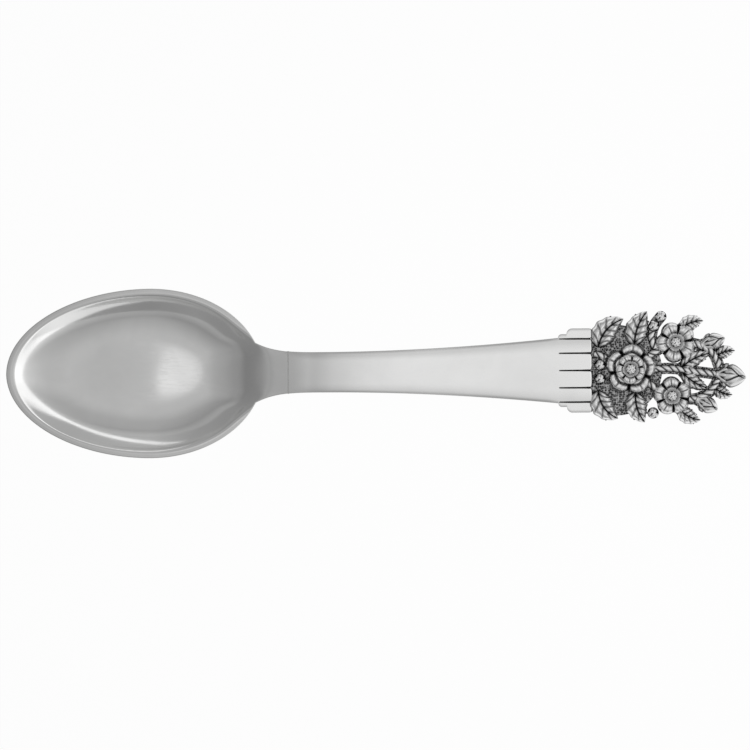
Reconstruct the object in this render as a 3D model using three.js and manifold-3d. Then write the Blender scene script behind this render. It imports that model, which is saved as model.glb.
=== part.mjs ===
// Youth spoon in silver: a bowl soldered to a tapering handle, whose fluted end carries an openwork finial.
// The finial is a sawn backing plate, lapped under the handle, with flowers, buds, leaves, berries and
// stems soldered on its front. Millimetres, +Z up, +X from the bowl's tip towards the finial, and the
// origin under the middle of the spoon, on the table it lies on.
import * as THREE from "three";
import { mergeVertices } from "three/addons/utils/BufferGeometryUtils.js";
import Module from "manifold-3d";

const wasm = await Module();
wasm.setup();

// Lengths along the spoon
const BOWL_TIP_REACH = 29.2; // from the bowl's tip to its widest place
const BOWL_HEEL_REACH = 22.8; // half length of the ellipse behind the widest place
const NECK_STUB_LENGTH = 6.45; // from the bowl's heel to the soldered seam
const SEAM_THICKNESS = 0.25;
const HANDLE_LENGTH = 61.5; // from the seam to the ends of the flutes
const WAIST_REACH = 9; // from the seam to the handle's narrowest place
const FINIAL_REACH = 31.2; // from the ends of the flutes to the tip of the last bud

// Widths, as halves
const BOWL_HALF_WIDTH = 17.2;
const HEEL_HALF_WIDTH = 6.1; // where the neck leaves the bowl
const WAIST_HALF_WIDTH = 4.1;
const FLARE_HALF_WIDTH = 6.65; // where the flutes begin
const SMALL_STEP = 0.75; // the first shoulder beside the flutes
const LARGE_STEP = 1.15; // the second shoulder

// Heights above the table and thicknesses
const RIM_HEIGHT = 6.1;
const ARCH_HEIGHT = 10.9;
const BOWL_THICKNESS = 1.1;
const RIM_WIDTH = 1.25;
const RIM_THICKNESS = 1.5;
const NECK_THICKNESS = 3.4;
const NECK_EDGE_THICKNESS = 1.8;
const PLATE_THICKNESS = 1.1; // of the finial's backing plate
const LAP_COVER = 1.1; // of the handle's end, over the plate
const HANDLE_CROWN = 0.3; // how far the handle's front falls from its middle line to its edges
const EDGE_CHAMFER = 0.4;

// The outline and the hollow of the bowl
const BOWL_TIP_POWER = 1.95; // of the outline towards the tip: 2 is an ellipse, less is pointed
const BOWL_FULLNESS = 4; // a larger power gives a flatter floor and steeper walls
const BACK_FULLNESS = 3.6; // the same for the back
const FLOOR_TILT = 0.005; // how fast the floor falls towards the heel, where the bowl is deepest
const RIM_SOFTNESS = 0.5; // how far the hollow's edge is rounded over at the rim
const HEEL_SOFTNESS = 1.6; // and where the hollow runs out into the neck
const BACK_SOFTNESS = 2.5; // how far the bowl's back is rounded into the neck's
const RUN_OUT_CORE = 2.5; // the half width over which it runs out
const RUN_OUT_FADE = 8.5; // beside that, over which the hollow comes back to the rim
const RUN_OUT_REACH = 2; // how much longer the hollow is on its middle line, so that the ramp ends it there
const RAMP_SLOPE = 0.54; // of the straight ramp from the bowl's floor to the neck
const RAMP_REACH = 22.1; // from the bowl's widest place to where the ramp meets the front
const RAMP_SOFTNESS = 1.1; // how far the foot of the ramp is rounded

// The rise from the rim to the arch, and the start of the fall to the flutes
const RISE_START_REACH = 16; // behind the bowl's widest place
const RISE_LENGTH = 22;
const FALL_START_REACH = 4; // behind the seam

// The fluted end of the handle
const FLUTE_LENGTH = 6.9;
const GROOVE_SHARES = [-0.75, -0.41, 0, 0.41, 0.75]; // of the half width, so the outer flutes are narrower
const FLUTE_FLOOR = 0.4; // metal left under a groove where it is deepest
const FLUTE_GROOVE_WIDTH = 0.7;
const FLUTE_NOTCH_WIDTH = 0.9;
const FLUTE_NOTCH_DEPTH = 0.5;

// The backing plate and the lap under the handle
const LAP_LENGTH = 6;
const LAP_WALL = 0.3; // how far the lap stays inside the handle's edge where the flutes begin
const LAP_CLEARANCE = 0.2;
const GROUND_CENTRE = 5; // the plate's round unpierced part, from the flutes
const GROUND_RADIUS = 9.2;
const STEM_PAD_MARGIN = 0.4; // how far the plate shows beside a stem
const LEAF_PAD_SHARE = 0.65; // width of the plate under a leaf or bud, as a share of its width
const LEAF_PAD_REACH = 0.8; // share of a leaf's or bud's length that the plate backs
const FLOWER_PAD_SHARE = 0.85; // radius of the plate under a flower, as a share of its radius

// The applied ornaments
const ORNAMENT_GAP = 0.3; // dark line left between neighbours
const STEM_HALF_WIDTH = 0.75;
const STEM_HEIGHT = 1.15;
const LEAF_HEIGHT = 1.7;
const LEAF_EDGE = 0.4;
const BUD_HEIGHT = 2.3;
const CALYX_HEIGHT = 1.9;
const CALYX_LENGTH = 2.5;
const BERRY_RADIUS = 1.15;
const BERRY_HEIGHT = 1.35;
const PETAL_COUNT = 5;
const PETAL_HEIGHT = 1.8;
const PETAL_SEAT = 1.0; // height of the flat middle that carries what is soldered on a ring of petals
const INNER_PETAL_HEIGHT = 1.2;
const INNER_PETAL_SEAT = 0.75;
const BEAD_RADIUS = 1.05;
const BEAD_HEIGHT = 0.9;
const POINT_HALF_WIDTH = 0.18; // a leaf's or bud's tip is this blunt
const BUTT_HEIGHT = 0.3; // height of a rounded ornament along its edges

// Where the ornaments lie in the finial's plane: along the spoon from the flutes, then across it
const FLOWERS = [
  { name: "large_flower", at: [7.8, 0.2], radius: 5.3, turn: 0.2, innerRadius: 3.1 },
  { name: "upper_flower", at: [17.0, 5.6], radius: 4.2, turn: 0.75 },
  { name: "lower_flower", at: [16.2, -5.3], radius: 4.0, turn: 0.4 },
];

const TIP_BUD_START = [25.0, -0.9];
const UPPER_BUD_START = [22.0, 4.9];
const LOWER_BUD_START = [21.0, -5.9];

const BUDS = [
  { name: "tip_bud", from: TIP_BUD_START, to: [FINIAL_REACH, -1.7], halfWidth: 2.5 },
  { name: "upper_bud", from: UPPER_BUD_START, to: [27.0, 6.4], halfWidth: 1.9 },
  { name: "lower_bud", from: LOWER_BUD_START, to: [25.4, -8.2], halfWidth: 1.9 },
];

const LEAVES = [
  { name: "leaf_top_root", from: [1.2, 4.6], to: [6.4, 10.4], bend: 1.1, halfWidth: 2.6 },
  { name: "leaf_top_middle", from: [8.6, 4.9], to: [11.2, 11.9], bend: 0.7, halfWidth: 2.5 },
  { name: "leaf_top_end", from: [18.0, 8.3], to: [22.6, 9.9], bend: 0.5, halfWidth: 1.7 },
  { name: "leaf_bottom_root", from: [1.2, -4.0], to: [5.2, -9.8], bend: -1.1, halfWidth: 2.5 },
  { name: "leaf_bottom_middle", from: [8.8, -4.4], to: [10.6, -10.6], bend: -0.7, halfWidth: 2.4 },
  { name: "leaf_bottom_end", from: [17.6, -7.9], to: [21.9, -10.2], bend: -0.5, halfWidth: 1.7 },
  { name: "leaf_inner_upper", from: [18.0, 0.4], to: [24.2, 3.4], bend: 0.5, halfWidth: 1.7 },
  { name: "leaf_inner_lower", from: [18.2, -0.4], to: [23.6, -3.8], bend: -0.5, halfWidth: 1.6 },
  { name: "leaf_tip_upper", from: [25.2, 2.7], to: [29.0, 3.8], bend: 0.4, halfWidth: 1.4 },
  { name: "leaf_tip_lower", from: [24.8, -3.7], to: [28.4, -5.1], bend: -0.4, halfWidth: 1.4 },
];

const BERRIES = [
  { name: "berry_top_1", at: [12.6, 8.9] },
  { name: "berry_top_2", at: [14.0, 10.8] },
  { name: "berry_root_1", at: [1.6, 1.1] },
  { name: "berry_root_2", at: [1.6, -1.7] },
  { name: "berry_bottom", at: [12.3, -8.7] },
];

const STEMS = [
  { name: "main_stem", through: [[11.6, 0.1], [16, 0.3], [20.4, -0.3], TIP_BUD_START] },
  { name: "upper_stem", through: [[11.2, 2.8], [12.4, 3.4], [13.8, 4.4], [15.2, 5.4]] },
  { name: "lower_stem", through: [[11.0, -2.4], [12.2, -3.2], [13.6, -4.2], [15.0, -5.2]] },
  { name: "upper_branch", through: [[19.6, 5.5], UPPER_BUD_START, [24.6, 3.3], [25.8, 0.5]] },
  { name: "lower_branch", through: [[18.4, -5.7], LOWER_BUD_START, [24.0, -4.4], [25.6, -2.0]] },
  { name: "berry_stem", through: [[12.9, 4.2], [12.1, 6.4], [12.6, 8.9], [14.0, 10.8]] },
  { name: "root_stem", through: [[0.4, 3.4], [2.0, 2.9], [3.4, 1.8], [7.0, 0.4]] },
];

// Mesh resolution
const BOWL_STEPS = 56;
const NECK_SIDE_STEPS = 5;
const SECTION_STEPS = 8;
const HANDLE_STATIONS = 30;
const STRIP_STATIONS = 10;
const PAD_STATIONS = 5;
const CALYX_STATIONS = 5;
const STEM_STATIONS = 12;
const DISC_STEPS = 30;
const GROUND_STEPS = 48;
const BEAD_STEPS = 16;

// Places that follow from the lengths and widths
const HEEL_REACH = BOWL_HEEL_REACH * Math.sqrt(1 - (HEEL_HALF_WIDTH / BOWL_HALF_WIDTH) ** 2);
const NECK_STUB_REACH = HEEL_REACH + NECK_STUB_LENGTH;
const TOTAL_LENGTH = BOWL_TIP_REACH + NECK_STUB_REACH + SEAM_THICKNESS + HANDLE_LENGTH + FINIAL_REACH;
const TIP_X = -TOTAL_LENGTH / 2;
const WIDEST_X = TIP_X + BOWL_TIP_REACH;
const HEEL_X = WIDEST_X + HEEL_REACH;
const SEAM_X = WIDEST_X + NECK_STUB_REACH;
const HANDLE_X = SEAM_X + SEAM_THICKNESS;
const WAIST_X = SEAM_X + WAIST_REACH;
const COLLAR_X = HANDLE_X + HANDLE_LENGTH;
const FLUTE_X = COLLAR_X - FLUTE_LENGTH;
const LARGE_STEP_X = FLUTE_X + FLUTE_LENGTH / 4;
const FALL_START_X = SEAM_X + FALL_START_REACH;
const COLLAR_HALF_WIDTH = FLARE_HALF_WIDTH + SMALL_STEP + LARGE_STEP;
const LAP_HALF_WIDTH = FLARE_HALF_WIDTH - LAP_WALL;
const HANDLE_END_THICKNESS = PLATE_THICKNESS + LAP_COVER;
const FLUTE_DEPTH = LAP_COVER - FLUTE_FLOOR;
const OUTER_DEPTH = RIM_HEIGHT - RIM_THICKNESS;
const INNER_DEPTH = RIM_HEIGHT - BOWL_THICKNESS;

// Finishes
const metal = (color, roughness) => new THREE.MeshStandardMaterial({ color, roughness, metalness: 1 });
const polishedSilver = () => metal(0xd2d3d4, 0.2);
const solderSilver = () => metal(0x8f8f90, 0.4);
const castSilver = () => metal(0xaeb0b2, 0.32);
const oxidisedSilver = () => metal(0x3c3d3f, 0.55);

// Plain functions of a number
const clamp01 = (t) => Math.min(1, Math.max(0, t));
const mix = (a, b, t) => a + (b - a) * t;
const smoothMax = (a, b, soft) => Math.max(a, b) + Math.max(soft - Math.abs(a - b), 0) ** 2 / (4 * soft);
const smoothMin = (a, b, soft) => -smoothMax(-a, -b, soft);
const steps = (count) => Array.from({ length: count + 1 }, (_, i) => i / count);

function easeInOut(t) {
  const c = clamp01(t);
  return c * c * c * (c * (6 * c - 15) + 10);
}

function quarterRound(distance, radius) {
  const d = Math.min(radius, Math.max(0, distance));
  return Math.sqrt(radius * radius - (radius - d) * (radius - d));
}

// A closed surface from points and triangles, turned so that its faces point out.
function closedGeometry(points, triangles) {
  const geometry = new THREE.BufferGeometry();
  geometry.setAttribute("position", new THREE.Float32BufferAttribute(points.flat(), 3));
  const [a, b, c] = [new THREE.Vector3(), new THREE.Vector3(), new THREE.Vector3()];
  let volume = 0;
  for (const [i, j, k] of triangles) {
    a.fromArray(points[i]);
    b.fromArray(points[j]);
    c.fromArray(points[k]);
    volume += a.dot(b.cross(c));
  }
  const facing = volume > 0 ? triangles : triangles.map(([i, j, k]) => [i, k, j]);
  geometry.setIndex(facing.flat());
  return geometry;
}

// A skin over closed loops with equal counts of points, each end capped from its middle.
function loft(loops) {
  const count = loops[0].length;
  const points = loops.flat();
  const triangles = [];
  for (let i = 0; i + 1 < loops.length; i++) {
    for (let j = 0; j < count; j++) {
      const next = (j + 1) % count;
      const [p, q, r, s] = [i * count + j, i * count + next, (i + 1) * count + next, (i + 1) * count + j];
      triangles.push([p, q, r], [p, r, s]);
    }
  }
  for (const [start, reversed] of [[0, false], [(loops.length - 1) * count, true]]) {
    const loop = points.slice(start, start + count);
    const middle = [0, 1, 2].map((k) => loop.reduce((sum, p) => sum + p[k], 0) / count);
    const hub = points.push(middle) - 1;
    for (let j = 0; j < count; j++) {
      const [p, q] = [start + j, start + ((j + 1) % count)];
      triangles.push(reversed ? [hub, p, q] : [hub, q, p]);
    }
  }
  return closedGeometry(points, triangles);
}

// manifold-3d solids, for cuts and joins
function solidFrom(geometry) {
  const bare = new THREE.BufferGeometry().setAttribute("position", geometry.getAttribute("position"));
  bare.setIndex(geometry.index);
  const merged = mergeVertices(bare, 1e-5);
  return new wasm.Manifold(
    new wasm.Mesh({
      numProp: 3,
      vertProperties: merged.attributes.position.array,
      triVerts: new Uint32Array(merged.index.array),
    }),
  );
}

function geometryFrom(solid) {
  const mesh = solid.getMesh();
  const geometry = new THREE.BufferGeometry();
  geometry.setAttribute("position", new THREE.BufferAttribute(mesh.vertProperties, 3));
  geometry.setIndex(new THREE.BufferAttribute(mesh.triVerts, 1));
  return geometry;
}

function boxSolid(low, high) {
  const size = high.map((value, k) => value - low[k]);
  const box = new THREE.BoxGeometry(...size);
  box.translate(...low.map((value, k) => value + size[k] / 2));
  return solidFrom(box);
}

const largestBody = (solid) => solid.decompose().reduce((a, b) => (a.volume() > b.volume() ? a : b));

function named(name, geometry, material) {
  const mesh = new THREE.Mesh(geometry, material);
  mesh.name = name;
  return mesh;
}

// The spoon's long lines: the height of its front, its thickness and its half width at a place along it.
function frontHeight(x) {
  const rise = easeInOut((x - WIDEST_X - RISE_START_REACH) / RISE_LENGTH);
  const fall = easeInOut((x - FALL_START_X) / (FLUTE_X - FALL_START_X));
  return RIM_HEIGHT + (ARCH_HEIGHT - RIM_HEIGHT) * rise - (ARCH_HEIGHT - HANDLE_END_THICKNESS) * fall;
}

const alongHandle = (x) => easeInOut((x - SEAM_X) / (FLUTE_X - SEAM_X));
const thickness = (x) => mix(NECK_THICKNESS, HANDLE_END_THICKNESS, alongHandle(x));

function edgeThickness(x) {
  const atNeck = mix(RIM_THICKNESS, NECK_EDGE_THICKNESS, easeInOut((x - WIDEST_X) / NECK_STUB_REACH));
  return mix(atNeck, HANDLE_END_THICKNESS, alongHandle(x));
}

function handleHalfWidth(x) {
  if (x < WAIST_X) {
    const back = Math.min(1, (WAIST_X - x) / (WAIST_X - HEEL_X));
    return mix(WAIST_HALF_WIDTH, HEEL_HALF_WIDTH, back ** 4);
  }
  const on = Math.min(1, (x - WAIST_X) / (FLUTE_X - WAIST_X));
  return mix(WAIST_HALF_WIDTH, FLARE_HALF_WIDTH, on ** 1.8);
}

// The handle's half width with the two shoulders beside the flutes
function shoulderedHalfWidth(x) {
  const shoulders = quarterRound(x - FLUTE_X, SMALL_STEP) + quarterRound(x - LARGE_STEP_X, LARGE_STEP);
  return handleHalfWidth(x) + shoulders;
}

const acrossShare = (x, y) => Math.min(1, Math.abs(y) / handleHalfWidth(x));

// How far a place is from the bowl's middle, as a share of the way to an edge set in from the outline
function bowlShare(x, y, inset, runOut = 0) {
  const [reach, power] = x < WIDEST_X ? [BOWL_TIP_REACH, BOWL_TIP_POWER] : [BOWL_HEEL_REACH + runOut, 2];
  const along = Math.abs(x - WIDEST_X) / (reach - inset);
  const across = Math.abs(y) / (BOWL_HALF_WIDTH - inset);
  return (along ** power + across ** power) ** (1 / power);
}

const towardsHeel = (x) => easeInOut((x - WIDEST_X) / HEEL_REACH);

function crownFall(x, y) {
  const grown = easeInOut((x - HEEL_X) / (WAIST_X - HEEL_X));
  return HANDLE_CROWN * grown * acrossShare(x, y) ** 2;
}

function frontSurface(x, y) {
  const deep = INNER_DEPTH + FLOOR_TILT * (x - WIDEST_X);
  const middle = 1 - easeInOut((Math.abs(y) - RUN_OUT_CORE) / RUN_OUT_FADE);
  const bowl = deep * (1 - bowlShare(x, y, RIM_WIDTH, RUN_OUT_REACH * middle) ** BOWL_FULLNESS);
  const hollow = smoothMin(bowl, RAMP_SLOPE * (WIDEST_X + RAMP_REACH - x), RAMP_SOFTNESS);
  const soft = mix(RIM_SOFTNESS, HEEL_SOFTNESS, towardsHeel(x) * middle);
  return frontHeight(x) - smoothMax(0, hollow, soft) - crownFall(x, y);
}

function neckBack(x, y) {
  const belly = thickness(x) - edgeThickness(x);
  return frontHeight(x) - edgeThickness(x) - belly * (1 - acrossShare(x, y) ** 4);
}

function backSurface(x, y) {
  const bowl = frontHeight(x) - RIM_THICKNESS - OUTER_DEPTH * (1 - bowlShare(x, y, 0) ** BACK_FULLNESS);
  const soft = mix(RIM_SOFTNESS / 4, BACK_SOFTNESS, towardsHeel(x));
  return x < WIDEST_X ? bowl : smoothMin(bowl, neckBack(x, y), soft);
}

// The shares across a section at which the handle and the bowl's neck have points
const chamferShare = (x) => 1 - EDGE_CHAMFER / handleHalfWidth(x);
const acrossShares = (x) => steps(SECTION_STEPS).map((t) => mix(-chamferShare(x), chamferShare(x), t));

// Bowl: rings of the outline drawn in towards the middle, on the front and on the back
function bowlOutline() {
  const cornerAngle = Math.asin(HEEL_HALF_WIDTH / BOWL_HALF_WIDTH);
  const side = steps(NECK_SIDE_STEPS).slice(1, -1).map((t) => mix(SEAM_X, HEEL_X, t));
  const half = handleHalfWidth(SEAM_X);
  const end = acrossShares(SEAM_X).map((share) => ({ x: SEAM_X, y: share * half, seam: true }));
  const upper = [{ x: SEAM_X, y: half }, ...side.map((x) => ({ x, y: handleHalfWidth(x) }))];
  const round = steps(BOWL_STEPS).map((t) => {
    const angle = mix(cornerAngle, 2 * Math.PI - cornerAngle, t);
    const [reach, power] = Math.cos(angle) < 0 ? [BOWL_TIP_REACH, BOWL_TIP_POWER] : [BOWL_HEEL_REACH, 2];
    const bent = (value) => Math.sign(value) * Math.abs(value) ** (2 / power);
    return { x: WIDEST_X + reach * bent(Math.cos(angle)), y: BOWL_HALF_WIDTH * bent(Math.sin(angle)) };
  });
  const lower = upper.map((p) => ({ x: p.x, y: -p.y })).reverse();
  return [...end, ...upper, ...round, ...lower];
}

function bowlGeometry() {
  const outline = bowlOutline();
  const drawnIn = (p, ring) => {
    const [dx, dy] = [p.x - WIDEST_X, p.y];
    const length = Math.hypot(dx, dy);
    const kept = ((length - ring.inset) / length) * ring.share;
    return [WIDEST_X + dx * kept, dy * kept];
  };
  const insets = [EDGE_CHAMFER, RIM_WIDTH, 2 * RIM_WIDTH].map((inset) => ({ inset, share: 1 }));
  const shares = [0.9, 0.78, 0.64, 0.48, 0.3, 0.14, 0.02].map((share) => ({ inset: 2 * RIM_WIDTH, share }));
  const rings = [...insets, ...shares];
  const front = rings.map((ring) =>
    outline.map((p) => {
      const [x, y] = drawnIn(p, ring);
      return [x, y, frontSurface(x, y)];
    }),
  );
  const back = rings.map((ring) =>
    outline.map((p) => {
      const [x, y] = drawnIn(p, ring);
      return [x, y, backSurface(x, y)];
    }),
  );
  const frontEdge = outline.map((p) => [p.x, p.y, frontSurface(p.x, p.y) - (p.seam ? 0 : EDGE_CHAMFER)]);
  const backEdge = outline.map((p) => [p.x, p.y, backSurface(p.x, p.y)]);
  return loft([...front.reverse(), frontEdge, backEdge, ...back]);
}

// Handle: sections from the seam to the ends of the flutes
function handleSection(x, halfWidth) {
  const inner = steps(SECTION_STEPS).map((t) => mix(-1, 1, t) * (halfWidth - EDGE_CHAMFER));
  const front = inner.map((y) => [x, y, frontHeight(x) - crownFall(x, y)]);
  const back = inner.map((y) => [x, y, neckBack(x, y)]).reverse();
  const edge = frontHeight(x) - crownFall(x, halfWidth) - EDGE_CHAMFER;
  const foot = frontHeight(x) - edgeThickness(x);
  const upper = [[x, halfWidth, edge], [x, halfWidth, foot]];
  const lower = [[x, -halfWidth, foot], [x, -halfWidth, edge]];
  return [...front, ...upper, ...back, ...lower];
}

// One V groove between two flutes, deepest at the handle's end, where a notch rounds the flutes off
function fluteCutter(y) {
  const end = COLLAR_X + FLUTE_NOTCH_DEPTH;
  const grow = (end - FLUTE_X) / FLUTE_LENGTH;
  const half = (FLUTE_GROOVE_WIDTH / 2) * grow;
  const front = HANDLE_END_THICKNESS;
  const groove = closedGeometry(
    [
      [FLUTE_X, y, front],
      [end, y - half, front + HANDLE_CROWN],
      [end, y + half, front + HANDLE_CROWN],
      [end, y, front - FLUTE_DEPTH * grow],
    ],
    [[0, 1, 2], [0, 2, 3], [0, 3, 1], [1, 3, 2]],
  );
  const notch = new THREE.Shape([
    new THREE.Vector2(COLLAR_X - FLUTE_NOTCH_DEPTH, y),
    new THREE.Vector2(end, y - FLUTE_NOTCH_WIDTH),
    new THREE.Vector2(end, y + FLUTE_NOTCH_WIDTH),
  ]);
  const prism = new THREE.ExtrudeGeometry(notch, { depth: front, bevelEnabled: false });
  const bare = mergeVertices(prism.deleteAttribute("normal").deleteAttribute("uv"));
  bare.translate(0, 0, PLATE_THICKNESS);
  return solidFrom(groove).add(solidFrom(bare));
}

function handleGeometry() {
  const plain = steps(HANDLE_STATIONS).map((t) => mix(HANDLE_X, FLUTE_X, t));
  const shoulders = [
    ...[0.1, 0.4, 1].map((t) => FLUTE_X + SMALL_STEP * t),
    ...[0, 0.06, 0.25, 0.55, 1].map((t) => LARGE_STEP_X + LARGE_STEP * t),
    COLLAR_X,
  ];
  const sections = [...plain, ...shoulders].map((x) => handleSection(x, shoulderedHalfWidth(x)));
  let handle = solidFrom(loft(sections));
  const lap = boxSolid(
    [COLLAR_X - LAP_LENGTH, -LAP_HALF_WIDTH, -PLATE_THICKNESS],
    [COLLAR_X + PLATE_THICKNESS, LAP_HALF_WIDTH, PLATE_THICKNESS],
  );
  handle = handle.subtract(lap);
  for (const share of GROOVE_SHARES) handle = handle.subtract(fluteCutter(share * COLLAR_HALF_WIDTH));
  return geometryFrom(largestBody(handle));
}

// Seam: the wafer of solder between the bowl's neck and the handle, a hair inside their outline
function seamGeometry() {
  const inset = EDGE_CHAMFER / 4;
  const section = (x) => handleSection(SEAM_X, handleHalfWidth(SEAM_X) - inset).map(([, y, z]) => [x, y, z]);
  return loft([section(SEAM_X), section(HANDLE_X)]);
}

// Finial ornaments: strips along a curve and discs round a point, each flat on the plate
function bendCurve({ from, to, bend = 0 }) {
  const [a, b] = [new THREE.Vector2(...from), new THREE.Vector2(...to)];
  const across = b.clone().sub(a).normalize().rotateAround(new THREE.Vector2(), Math.PI / 2);
  const middle = a.clone().add(b).multiplyScalar(0.5).addScaledVector(across, 2 * bend);
  return new THREE.QuadraticBezierCurve(a, middle, b);
}

const splineCurve = (through) => new THREE.SplineCurve(through.map((p) => new THREE.Vector2(...p)));
const firstPart = (curve, share) => new THREE.SplineCurve(steps(4).map((t) => curve.getPoint(t * share)));

// A strip with its front points at shares of the half width across, at a height for each place and share
function strip(curve, count, shares, halfWidth, height) {
  const loops = steps(count).map((t) => {
    const point = curve.getPoint(t);
    const way = curve.getTangent(t);
    const half = halfWidth(t);
    const at = (share, z) => [point.x - way.y * share * half, point.y + way.x * share * half, z];
    return [...shares.map((share) => at(share, height(t, share))), at(1, 0), at(-1, 0)];
  });
  return solidFrom(loft(loops));
}

const FLAT_SHARES = [-1, 0, 1];
const flatStrip = (curve, count, half, height) => strip(curve, count, FLAT_SHARES, half, () => height);

const ROUND_SHARES = [-1, -0.75, -0.35, 0.35, 0.75, 1];
const halfRound = (share) => Math.sqrt(1 - share * share);

function roundStrip(curve, count, halfWidth, crest) {
  const height = (t, share) => mix(BUTT_HEIGHT, crest(t), halfRound(share));
  return strip(curve, count, ROUND_SHARES, halfWidth, height);
}

// A disc with its front through rings, each with a height and a reach from the middle at an angle
function disc([u, v], count, rings, base = 0) {
  const loop = (reach, z) =>
    steps(count).slice(1).map((t) => {
      const angle = 2 * Math.PI * t;
      return [u + reach(angle) * Math.cos(angle), v + reach(angle) * Math.sin(angle), base + z];
    });
  const front = rings.map((ring) => loop(ring.reach, ring.z));
  return solidFrom(loft([...front, loop(rings.at(-1).reach, 0), loop(rings[0].reach, 0)]));
}

function flatDisc(at, count, reach, height) {
  return disc(at, count, [0.3, 1].map((share) => ({ reach: (angle) => share * reach(angle), z: height })));
}

function domeSolid(at, radius, tall, base = 0) {
  const rings = [0.3, 0.6, 0.85, 1].map((share) => ({
    reach: () => radius * share,
    z: mix(BUTT_HEIGHT, tall, halfRound(share)),
  }));
  return disc(at, BEAD_STEPS, rings, base);
}

// A ring of petals: a flat round seat in the middle, then petals that swell and turn down at their edges
function petalOutline(radius, turn, seatRadius) {
  const wave = (angle) => Math.abs(Math.cos((PETAL_COUNT / 2) * (angle - turn))) ** 0.7;
  return (angle) => Math.max(seatRadius * 1.2, radius * mix(0.74, 1, wave(angle)));
}

function petalSolid(at, outline, seatRadius, seat, tall, base = 0) {
  const towardsEdge = (share, z) => ({ reach: (angle) => mix(seatRadius, outline(angle), share), z });
  const middle = [0.4, 1].map((share) => ({ reach: () => share * seatRadius, z: seat }));
  const crest = [towardsEdge(0.5, tall), towardsEdge(0.85, mix(seat, tall, 0.8))];
  const edge = towardsEdge(1, seat * 0.7);
  return disc(at, DISC_STEPS, [...middle, ...crest, edge], base);
}

// The space an ornament keeps clear of others, as a prism through the whole finial
const CUT_DEPTH = 8;
const lowered = (solid) => solid.translate([0, 0, -CUT_DEPTH / 2]);
const discPrism = (at, reach) =>
  lowered(flatDisc(at, DISC_STEPS, (angle) => reach(angle) + ORNAMENT_GAP, CUT_DEPTH));
const stripPrism = (curve, count, halfWidth) =>
  lowered(flatStrip(curve, count, (t) => halfWidth(t) + ORNAMENT_GAP, CUT_DEPTH));

// Each ornament gives its solid, the prism it keeps clear, and the pad of plate behind it.
function flowerOrnament({ name, at, radius, turn, innerRadius }) {
  const seatRadius = (innerRadius ?? BEAD_RADIUS) + ORNAMENT_GAP;
  const outline = petalOutline(radius, turn, seatRadius);
  return {
    name: `${name}_petals`,
    solid: petalSolid(at, outline, seatRadius, PETAL_SEAT, PETAL_HEIGHT),
    prism: discPrism(at, outline),
    pad: flatDisc(at, DISC_STEPS, () => radius * FLOWER_PAD_SHARE, PLATE_THICKNESS),
  };
}

function berryOrnament({ name, at }) {
  return {
    name,
    solid: domeSolid(at, BERRY_RADIUS, BERRY_HEIGHT),
    prism: discPrism(at, () => BERRY_RADIUS),
    pad: flatDisc(at, BEAD_STEPS, () => BERRY_RADIUS, PLATE_THICKNESS),
  };
}

const swell = (t, lean, power) => Math.sin(Math.PI * t ** lean) ** power;

function budOrnament(bud) {
  const curve = bendCurve(bud);
  const halfWidth = (t) => Math.max(POINT_HALF_WIDTH, bud.halfWidth * swell(t, 0.85, 0.7));
  const crest = (t) => BUD_HEIGHT * mix(0.4, 1, swell(t, 0.85, 0.7));
  const padHalf = () => bud.halfWidth * LEAF_PAD_SHARE;
  return {
    name: bud.name,
    solid: roundStrip(curve, STRIP_STATIONS, halfWidth, crest),
    prism: stripPrism(curve, STRIP_STATIONS, halfWidth),
    pad: flatStrip(firstPart(curve, LEAF_PAD_REACH), PAD_STATIONS, padHalf, PLATE_THICKNESS),
  };
}

// The cup of sepals round the foot of a bud
function calyxOrnament(bud) {
  const [a, b] = [new THREE.Vector2(...bud.from), new THREE.Vector2(...bud.to)];
  const curve = new THREE.LineCurve(a, a.clone().lerp(b, CALYX_LENGTH / a.distanceTo(b)));
  const halfWidth = (t) => mix(STEM_HALF_WIDTH, bud.halfWidth, easeInOut(1.2 * t));
  const crest = (t) => mix(STEM_HEIGHT, CALYX_HEIGHT, easeInOut(t));
  return {
    name: `${bud.name}_calyx`,
    solid: roundStrip(curve, CALYX_STATIONS, halfWidth, crest),
    prism: stripPrism(curve, CALYX_STATIONS, halfWidth),
    pad: flatStrip(curve, CALYX_STATIONS, () => STEM_HALF_WIDTH + STEM_PAD_MARGIN, PLATE_THICKNESS),
  };
}

// A leaf's two blades rise from their edges and dip along the vein between them.
const LEAF_SHARES = [-1, -0.75, -0.45, 0, 0.45, 0.75, 1];
const LEAF_RELIEF = [0, 0.75, 1, 0.5, 1, 0.75, 0];

function leafOrnament(leaf) {
  const curve = bendCurve(leaf);
  const halfWidth = (t) => Math.max(POINT_HALF_WIDTH, leaf.halfWidth * swell(t, 0.75, 0.8));
  const crest = (t) => LEAF_HEIGHT * mix(0.5, 1, swell(t, 0.8, 1));
  const height = (t, share) => mix(LEAF_EDGE, crest(t), LEAF_RELIEF[LEAF_SHARES.indexOf(share)]);
  const padHalf = () => leaf.halfWidth * LEAF_PAD_SHARE;
  return {
    name: leaf.name,
    solid: strip(curve, STRIP_STATIONS, LEAF_SHARES, halfWidth, height),
    prism: stripPrism(curve, STRIP_STATIONS, halfWidth),
    pad: flatStrip(firstPart(curve, LEAF_PAD_REACH), PAD_STATIONS, padHalf, PLATE_THICKNESS),
  };
}

function stemOrnament({ name, through }) {
  const curve = splineCurve(through);
  const padHalf = () => STEM_HALF_WIDTH + STEM_PAD_MARGIN;
  return {
    name,
    solid: roundStrip(curve, STEM_STATIONS, () => STEM_HALF_WIDTH, () => STEM_HEIGHT),
    prism: stripPrism(curve, STEM_STATIONS, () => STEM_HALF_WIDTH),
    pad: flatStrip(curve, STEM_STATIONS, padHalf, PLATE_THICKNESS),
  };
}

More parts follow.
